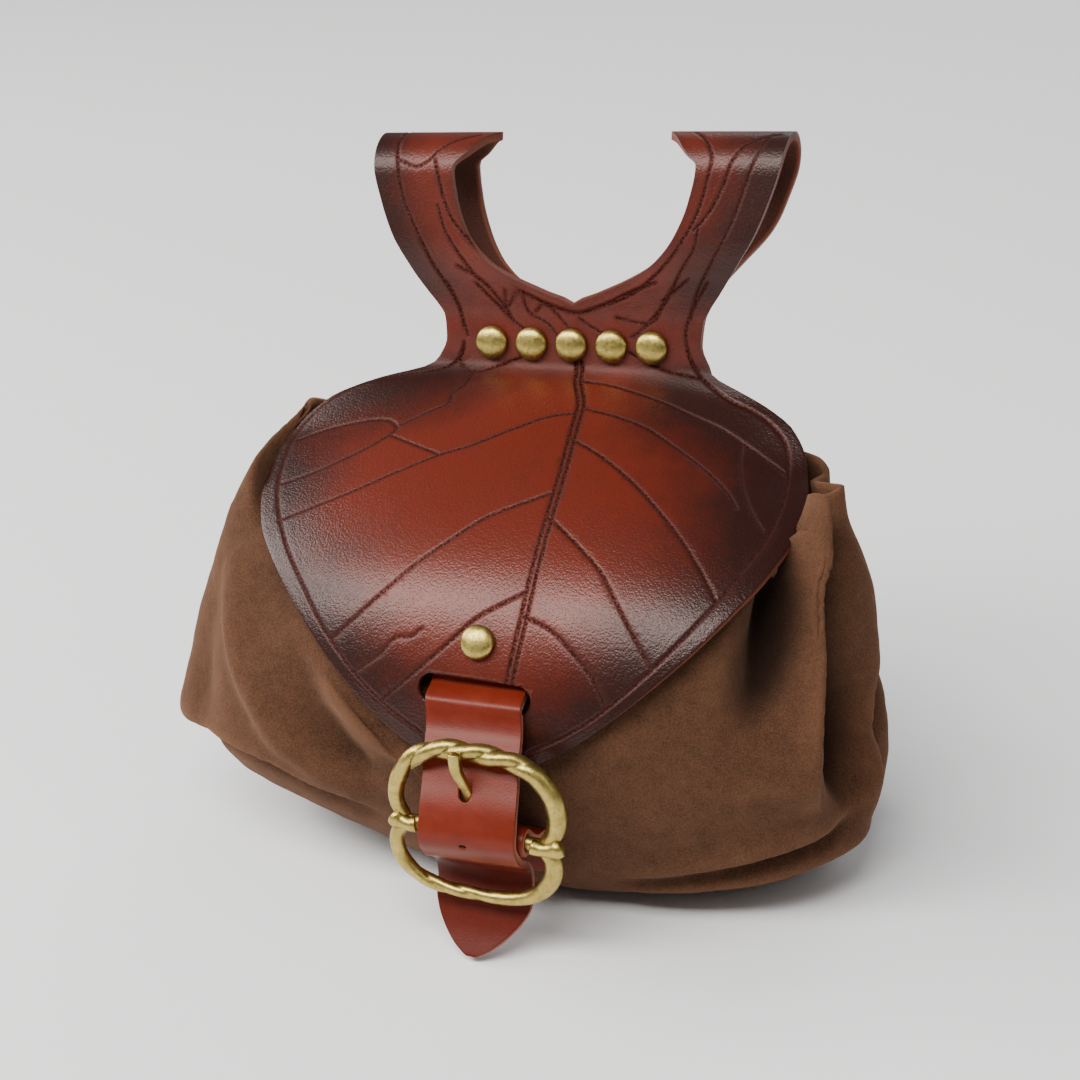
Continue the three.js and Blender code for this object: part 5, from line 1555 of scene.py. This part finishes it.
# %% Mottle
mottle, given, result = new_group(
    "mottle", [("Vector", "Vector", None), ("Size mm", "Float", 10.0), ("Contrast", "Float", 1.0)],
    [("Value", "Float")])
scale = maths(mottle, "DIVIDE", 1000.0, given["Size mm"])
large = noise_of(mottle, given["Vector"], scale, 3.0, 0.55)
small = noise_of(mottle, given["Vector"], times(mottle, scale, 4.7), 2.0)
both = plus(mottle, times(mottle, large, 0.7), small, 0.3)
spread = times(mottle, from_middle(mottle, both), times(mottle, given["Contrast"], 2.4))
mottle.links.new(maths(mottle, "ADD", spread, 0.5, clamp=True), result["Value"])


def clouds_of(tree, vector, size_mm, contrast):
    return use_group(tree, mottle, {"Vector": vector, "Size mm": size_mm, "Contrast": contrast})["Value"]


print(mottle.name, "has", len(mottle.nodes), "nodes")

# %% [markdown]
# Leather grain is a field of small rounded pebbles with fine creases between them. A Voronoi texture
# cuts the surface into cells: the distance from a cell's middle gives its dome, with smaller domes on
# top, and the distance from its edge gives the creases, as a mask for the colour. A little noise in the
# coordinates keeps the pebbles irregular.

# %% Grain of leather
grain, given, result = new_group("leather_grain", [("Vector", "Vector", None), ("Pebble mm", "Float", 0.8)],
                                 [("Height", "Float"), ("Crease", "Float")])
warp = add(grain, "TexNoise", {"Vector": given["Vector"], "Scale": 900.0, "Detail": 1.0})
moved = add(grain, "VectorMath", {0: warp.outputs["Color"], 1: (0.5, 0.5, 0.5)}, operation="SUBTRACT")
moved = add(grain, "VectorMath", {0: moved.outputs[0], "Scale": 0.0006}, operation="SCALE")
bent = add(grain, "VectorMath", {0: given["Vector"], 1: moved.outputs[0]}, operation="ADD").outputs[0]
cells = maths(grain, "DIVIDE", 1000.0, given["Pebble mm"])


def distance_in_cells(scale, feature):
    made = add(grain, "TexVoronoi", {"Vector": bent, "Scale": scale}, feature=feature)
    return made.outputs["Distance"]


dome = limits(grain, distance_in_cells(cells, "F1"), 0.8, 0.05)
little = limits(grain, distance_in_cells(times(grain, cells, 1.9), "F1"), 0.8, 0.05)
grain.links.new(plus(grain, times(grain, dome, 0.75), little, 0.25), result["Height"])
grain.links.new(limits(grain, distance_in_cells(cells, "DISTANCE_TO_EDGE"), 0.12, 0.0), result["Crease"])
print(grain.name, "has", len(grain.nodes), "nodes")

# %% [markdown]
# A cut edge shows the fibres inside the leather, dyed only a little, and its flesh side is dull and
# felted. Both are masks that were kept while the leather was still flat.

# %% Raw leather: cut edges and flesh side
raw, given, result = new_group("raw_leather", [
    ("Vector", "Vector", None), ("Color", "Color", (0.1, 0.02, 0.01, 1)), ("Roughness", "Float", 0.4),
    ("Edge Color", "Color", (0.3, 0.1, 0.05, 1)), ("Flesh Color", "Color", (0.05, 0.02, 0.01, 1)),
    ("Cut Edge", "Float", 0.0), ("Flesh", "Float", 0.0)],
    [("Color", "Color"), ("Roughness", "Float"), ("Fibre", "Float")])
RAW_ROUGHNESS = 0.9
fibre = noise_of(raw, given["Vector"], 2600.0, 3.0, 0.7)
streak = limits(raw, fibre, 0.3, 0.7)
uneven = blend_colour(raw, streak, given["Flesh Color"], given["Edge Color"])
edge_colour = blend_colour(raw, 0.75, uneven, given["Edge Color"])
flesh_colour = blend_colour(raw, times(raw, streak, 0.35), given["Flesh Color"], given["Edge Color"])
with_flesh = blend_colour(raw, given["Flesh"], given["Color"], flesh_colour)
raw.links.new(blend_colour(raw, given["Cut Edge"], with_flesh, edge_colour), result["Color"])
rawness = maths(raw, "MAXIMUM", given["Cut Edge"], given["Flesh"])
duller = maths(raw, "SUBTRACT", RAW_ROUGHNESS, given["Roughness"])
raw.links.new(plus(raw, given["Roughness"], duller, rawness), result["Roughness"])
raw.links.new(times(raw, fibre, rawness), result["Fibre"])


def skin_of(tree, vector, colour, roughness, edge, flesh):
    """The whole look of a leather: its dyed grain side, with raw edges and a raw flesh side."""
    return use_group(tree, raw, {"Vector": vector, "Color": colour, "Roughness": roughness,
                                 "Edge Color": edge, "Flesh Color": flesh,
                                 "Cut Edge": mask_of(tree, "cut_edge"), "Flesh": mask_of(tree, "flesh_side")})


print(raw.name, "has", len(raw.nodes), "nodes")

# %% [markdown]
# Plain values go straight onto the shader of a material. A bump turns a height into a normal, and a
# colour ramp turns one value into several steps of colour.

# %% Helpers for materials
def start_material(name, sockets):
    """A material whose shader has these values on its own sockets."""
    made = bpy.data.materials.new(name)
    made.use_nodes = True
    tree = made.node_tree
    return made, tree, fill(tree, tree.nodes["Principled BSDF"], sockets)


def bumped(tree, height, depth_mm, strength):
    """The normal of a surface with this height on it."""
    made = add(tree, "Bump", {"Height": height, "Distance": depth_mm * MM, "Strength": strength})
    return made.outputs["Normal"]


def colour_steps(tree, share, steps):
    """A colour ramp from (position, colour) steps."""
    made = add(tree, "ValToRGB", {"Fac": share})
    ramp = made.color_ramp
    while len(ramp.elements) < len(steps):
        ramp.elements.new(0.5)
    for element, (position, colour) in zip(ramp.elements, steps):
        element.position = position
        element.color = (*colour, 1)
    return made.outputs["Color"]


print("helpers for materials are ready")

# %% [markdown]
# The big piece was dyed red and its edges burnished nearly black by hand, so the dark runs in from the
# outline unevenly: the burnish mask is stirred by the mottle, and goes a little further into the creases
# of the grain. The tooled lines were pressed in with a cord-patterned stamp, and are duller and darker
# than the skin. Leather is no metal, but a share of Metallic there tints the reflection dark red, where
# it would be grey without it. The loops and the crease, which bend and rub, are duller too.

# %% Leather of the flap, the yoke and the loops
RED, RED_BROWN, BURNISHED = (0.104, 0.0122, 0.0050), (0.050, 0.0066, 0.0032), (0.0180, 0.0036, 0.0023)
GROOVE_RED = (0.036, 0.0060, 0.0036)
flap_leather, tree, shader = start_material("burnished_red_leather", {
    "Specular IOR Level": 0.4, "Specular Tint": (1, 0.84, 0.8, 1)})
flat_uv = add(tree, "UVMap", {}, uv_map="flat").outputs["UV"]
clouds = clouds_of(tree, flat_uv, 26.0, 1.0)
pebbles = use_group(tree, grain, {"Vector": flat_uv, "Pebble mm": 0.66})
burnt = plus(tree, mask_of(tree, "burnish"), from_middle(tree, clouds), 0.5)
burnt = plus(tree, burnt, pebbles["Crease"], 0.12)
hide = colour_steps(tree, burnt, [(0.05, RED), (0.55, RED_BROWN), (0.95, BURNISHED), (1.0, BURNISHED)])
groove_mask = mask_of(tree, "groove")
stamped = noise_of(tree, flat_uv, 1500.0, 1.0)
in_groove = maths(tree, "MULTIPLY", groove_mask, limits(tree, stamped, 0.35, 0.62, 0.45, 1.0), clamp=True)
tooled = blend_colour(tree, maths(tree, "MULTIPLY", in_groove, 1.15, clamp=True), hide, GROOVE_RED)
shine = plus(tree, 0.27, clouds, 0.07)
shine = plus(tree, shine, mask_of(tree, "handled"), 0.3)
shine = plus(tree, shine, in_groove, 0.45, clamp=True)
skin = skin_of(tree, flat_uv, tooled, shine, (0.20, 0.05, 0.025, 1), (0.030, 0.010, 0.007, 1))
smooth_skin = times(tree, pebbles["Height"], maths(tree, "SUBTRACT", 1.0, in_groove))
relief = plus(tree, smooth_skin, times(tree, stamped, groove_mask), 3.0)
relief = plus(tree, relief, skin["Fibre"], 2.0)
fill(tree, shader, {"Base Color": skin["Color"], "Roughness": skin["Roughness"],
                    "Metallic": times(tree, in_groove, 0.8),
                    "Normal": bumped(tree, relief, depth_mm=0.046, strength=1.0)})
print(flap_leather.name, "has", len(tree.nodes), "nodes")

# %% [markdown]
# The straps are the same hide without burnishing: a lighter red with a much finer grain. The closing
# strap's tip, which hangs below the buckle out of the light, is given a deep dark red: painted shade.

# %% Leather of the straps
# The last colour is painted shade for the strap's tip.
STRAP_RED, STRAP_DEEP, STRAP_TIP_SHADE = (0.155, 0.0170, 0.0062), (0.115, 0.0100, 0.0034), (0.05, 0.0035, 0.0012)
strap_leather, tree, shader = start_material("red_strap_leather", {
    "Specular IOR Level": 0.3, "Specular Tint": (1, 0.8, 0.75, 1)})
flat_uv = add(tree, "UVMap", {}, uv_map="flat").outputs["UV"]
clouds = clouds_of(tree, flat_uv, 14.0, 1.2)
pebbles = use_group(tree, grain, {"Vector": flat_uv, "Pebble mm": 0.42})
dyed = blend_colour(tree, clouds, STRAP_DEEP, STRAP_RED)
# Painted shade: the tip below the buckle is darkened.
dyed = blend_colour(tree, times(tree, mask_of(tree, "tip_shade"), 0.7), dyed, STRAP_TIP_SHADE)
dyed = blend_colour(tree, times(tree, pebbles["Crease"], 0.25), dyed, STRAP_DEEP)
shine = plus(tree, 0.33, clouds, 0.08)
skin = skin_of(tree, flat_uv, dyed, shine, (0.36, 0.13, 0.085, 1), (0.16, 0.055, 0.035, 1))
relief = plus(tree, pebbles["Height"], skin["Fibre"], 4.0)
fill(tree, shader, {"Base Color": skin["Color"], "Roughness": skin["Roughness"],
                    "Normal": bumped(tree, relief, depth_mm=0.02, strength=0.8)})
print(strap_leather.name, "has", len(tree.nodes), "nodes")

# %% [markdown]
# Suede has no skin: its surface is a short nap that scatters light, lighter where it is brushed one way
# and darker the other. Sheen on the shader gives the pale rim that a nap has at a slant. Two masks of the
# shape paint shade into the colour: the nap is paler on crests and darker in hollows, and nearly black deep
# in a fold.

# %% Suede of the pouch
# The last colour is painted shade: the near black deep in the folds.
SUEDE_DARK, SUEDE_LIGHT, SUEDE_FOLD_SHADE = (0.028, 0.0115, 0.0052), (0.108, 0.0475, 0.0248), (0.007, 0.003, 0.0016)
suede, tree, shader = start_material("brown_suede", {
    "Roughness": 0.95, "Specular IOR Level": 0.15, "Sheen Weight": 0.22, "Sheen Roughness": 0.45,
    "Sheen Tint": (0.75, 0.42, 0.26, 1)})
place = add(tree, "TexCoord", {}).outputs["Object"]
clouds = clouds_of(tree, place, 17.0, 1.15)
brushed = clouds_of(tree, place, 3.2, 1.2)
nap = noise_of(tree, place, 2300.0, 4.0, 0.75)
tone = plus(tree, times(tree, clouds, 0.3), brushed, 0.22)
tone = plus(tree, tone, limits(tree, nap, 0.38, 0.62), 0.48)
# Painted shade in the hollows: the crest mask makes the nap darker there, and paler on crests.
tone = plus(tree, tone, from_middle(tree, mask_of(tree, "crest")), 0.9, clamp=True)
napped = blend_colour(tree, tone, SUEDE_DARK, SUEDE_LIGHT)
# Painted shade: deep in a fold the colour goes nearly black.
napped = blend_colour(tree, times(tree, mask_of(tree, "fold_shade"), 0.85), napped, SUEDE_FOLD_SHADE)
relief = plus(tree, nap, brushed, 0.6)
fill(tree, shader, {"Base Color": napped, "Normal": bumped(tree, relief, depth_mm=0.22, strength=0.8)})
print(suede.name, "has", len(tree.nodes), "nodes")

# %% [markdown]
# The brass is antiqued: it was darkened all over and rubbed back, so the dark stays in every recess and
# in small pits. The recess mask comes from the shape itself, from how hollow each point is.

# %% Antique brass
BRASS_LIGHT, BRASS_WARM, PATINA = (0.52, 0.40, 0.118), (0.32, 0.235, 0.062), (0.032, 0.022, 0.007)
brass, tree, shader = start_material("antique_brass", {"Metallic": 1.0})
place = add(tree, "TexCoord", {}).outputs["Object"]
clouds = clouds_of(tree, place, 3.5, 1.5)
spots = clouds_of(tree, place, 0.9, 1.6)
rubbed = blend_colour(tree, clouds, BRASS_WARM, BRASS_LIGHT)
hollow = plus(tree, mask_of(tree, "recess"), from_middle(tree, spots), 0.35)
hollow = plus(tree, hollow, from_middle(tree, clouds), 0.3)
hollow = limits(tree, hollow, 0.28, 0.85)
shine = maths(tree, "ADD", 0.28, plus(tree, times(tree, spots, 0.14), hollow, 0.25))
fill(tree, shader, {"Base Color": blend_colour(tree, hollow, rubbed, PATINA), "Roughness": shine,
                    "Normal": bumped(tree, spots, depth_mm=0.03, strength=0.6)})
print(brass.name, "has", len(tree.nodes), "nodes")

# %% [markdown]
# The masks that a shape decides are worked out here, once every shape is final. How hollow or crested a
# point is shows in its neighbours, which lie above or below its own tangent plane.

# %% Recesses of the brass and crests of the suede
RECESS_LEVEL, RECESS_GAIN, RECESS_ROUNDS = 0.35, 0.9, 2
CREST_GAIN, CREST_ROUNDS = 2.2, 10


def bend_of(mesh, rounds):
    """Positive in a hollow and negative on a crest, in 1/mm, evened out over the neighbours in rounds."""
    co = coordinates(mesh) / MM
    normals = np.empty(len(mesh.vertices) * 3)
    mesh.vertex_normals.foreach_get("vector", normals)
    normals = normals.reshape(-1, 3)
    ends = np.empty(len(mesh.edges) * 2, np.int64)
    mesh.edges.foreach_get("vertices", ends)
    a, b = ends.reshape(-1, 2).T
    way = co[b] - co[a]
    length2 = np.maximum((way**2).sum(1), 1e-6)
    total, count = np.zeros(len(co)), np.zeros(len(co))
    for here, sign in ((a, 1), (b, -1)):
        np.add.at(total, here, 2 * sign * (normals[here] * way).sum(1) / length2)
        np.add.at(count, here, 1)
    value = total / np.maximum(count, 1)
    for _ in range(rounds):
        near = np.zeros(len(co))
        np.add.at(near, a, value[b])
        np.add.at(near, b, value[a])
        value = 0.5 * value + 0.5 * near / np.maximum(count, 1)
    return value


for piece in brass_pieces.values():
    hollows = bend_of(piece.data, RECESS_ROUNDS)
    add_mask(piece, "recess", np.clip(RECESS_LEVEL + RECESS_GAIN * hollows, 0, 1))
# The crest mask is low in the hollows of the suede, where it paints shade into the colour.
bends = bend_of(pouch.data, CREST_ROUNDS)
add_mask(pouch, "crest", np.clip(0.5 - CREST_GAIN * bends, 0, 1))
print("the suede bends by", round(float(bends.min()), 2), "to", round(float(bends.max()), 2), "per mm")

# %% [markdown]
# How deep in a fold a place of the suede lies is its distance inside the plain bag. Little light gets in
# there, so the colour is darkened there as painted shade.

# %% Depth of the folds
SUNK_FROM, SUNK_OVER = 2.4, 9


def sunk_depth(places):
    """How far each place lies inside the plain bag, in millimetres."""
    x, y, z = places.T
    power, half, front, back = [ring_of[name](z) for name in ("square", "half", "front", "back")]
    deep = (back - front) / 2
    s = (y - (front + back) / 2) / deep
    s = s - tucked(x, s, z) / deep
    c = (x - ring_of["across"](z)) / half
    return (1 - (np.abs(c) ** power + np.abs(s) ** power) ** (1 / power)) * np.minimum(half, deep + 20)


depth = sunk_depth(coordinates(pouch.data) / MM)
# Painted shade: this mask says how far the suede is darkened deep in a fold.
add_mask(pouch, "fold_shade", smooth((depth - SUNK_FROM) / SUNK_OVER))
print("points deep in a fold:", int((depth > SUNK_FROM + SUNK_OVER).sum()), "of", len(depth))

# %% [markdown]
# Last, each piece takes its finish. The two straps share theirs, and so do the eight pieces of brass.

# %% Each piece gets its finish
finishes = [(leather, flap_leather), (strap, strap_leather), (chape, strap_leather), (pouch, suede)]
finishes += [(piece, brass) for piece in brass_pieces.values()]
for piece, material in finishes:
    piece.data.materials.clear()
    piece.data.materials.append(material)
print("materials:", sorted(m.name for m in bpy.data.materials if m.users))

# %% [markdown]
# ## Floor and light
# A plain pale floor and soft light. The key lamp is long and hangs high in front, a little to the left,
# and it gives the broad gloss across the steep part of the flap. A smaller lamp on the left brings out
# the folds on that side, two faint ones on the right and behind keep the shade from going black, and a
# dim world lights all the rest.

# %% Floor and world
floor_bm = bmesh.new()
bmesh.ops.create_grid(floor_bm, x_segments=1, y_segments=1, size=3, matrix=Matrix.Translation((0, 1.2, 0)))
floor = mesh_object("floor", floor_bm)
paper, tree, shader = start_material("pale_paper", {"Base Color": (0.92, 0.92, 0.925, 1), "Roughness": 0.7})
floor.data.materials.append(paper)

world = bpy.data.worlds.new("studio")
bpy.context.scene.world = world
world.use_nodes = True
fill(world.node_tree, world.node_tree.nodes["Background"], {"Color": (0.97, 0.98, 1.0, 1), "Strength": 0.2})
print("floor and world are in place")

# %% [markdown]
# The lamps are area lamps, because their size softens the shadows and shapes the gloss. Each looks at
# the middle of the bag.

# %% Lamps
def lamp(name, place, size, power, colour, roll=0):
    """An area lamp that looks at the bag; power is in watts and roll in degrees about its own axis."""
    data = bpy.data.lights.new(name, "AREA")
    data.shape = "RECTANGLE"
    data.size, data.size_y = size
    data.energy = power
    data.color = colour
    made = bpy.data.objects.new(name, data)
    bpy.context.scene.collection.objects.link(made)
    made.location = place
    made.rotation_mode = "QUATERNION"
    turn = Matrix.Rotation(math.radians(roll), 3, "Z").to_quaternion()
    made.rotation_quaternion = (AIM - Vector(place)).to_track_quat("-Z", "Y") @ turn


lamp("key_lamp", (-0.46, -0.95, 1.5), (2.2, 0.6), 62, (1, 0.985, 0.96), roll=24)
lamp("left_lamp", (-1.25, 0.0, 0.8), (0.7, 0.7), 15, (1, 0.99, 0.97))
lamp("side_lamp", (0.95, -0.35, 0.75), (0.6, 0.6), 1.5, (1, 0.99, 0.97))
lamp("back_lamp", (0.1, 1.1, 0.7), (0.8, 0.4), 3, (1, 1, 1))
print("lamps:", sorted(light.name for light in bpy.data.lights))
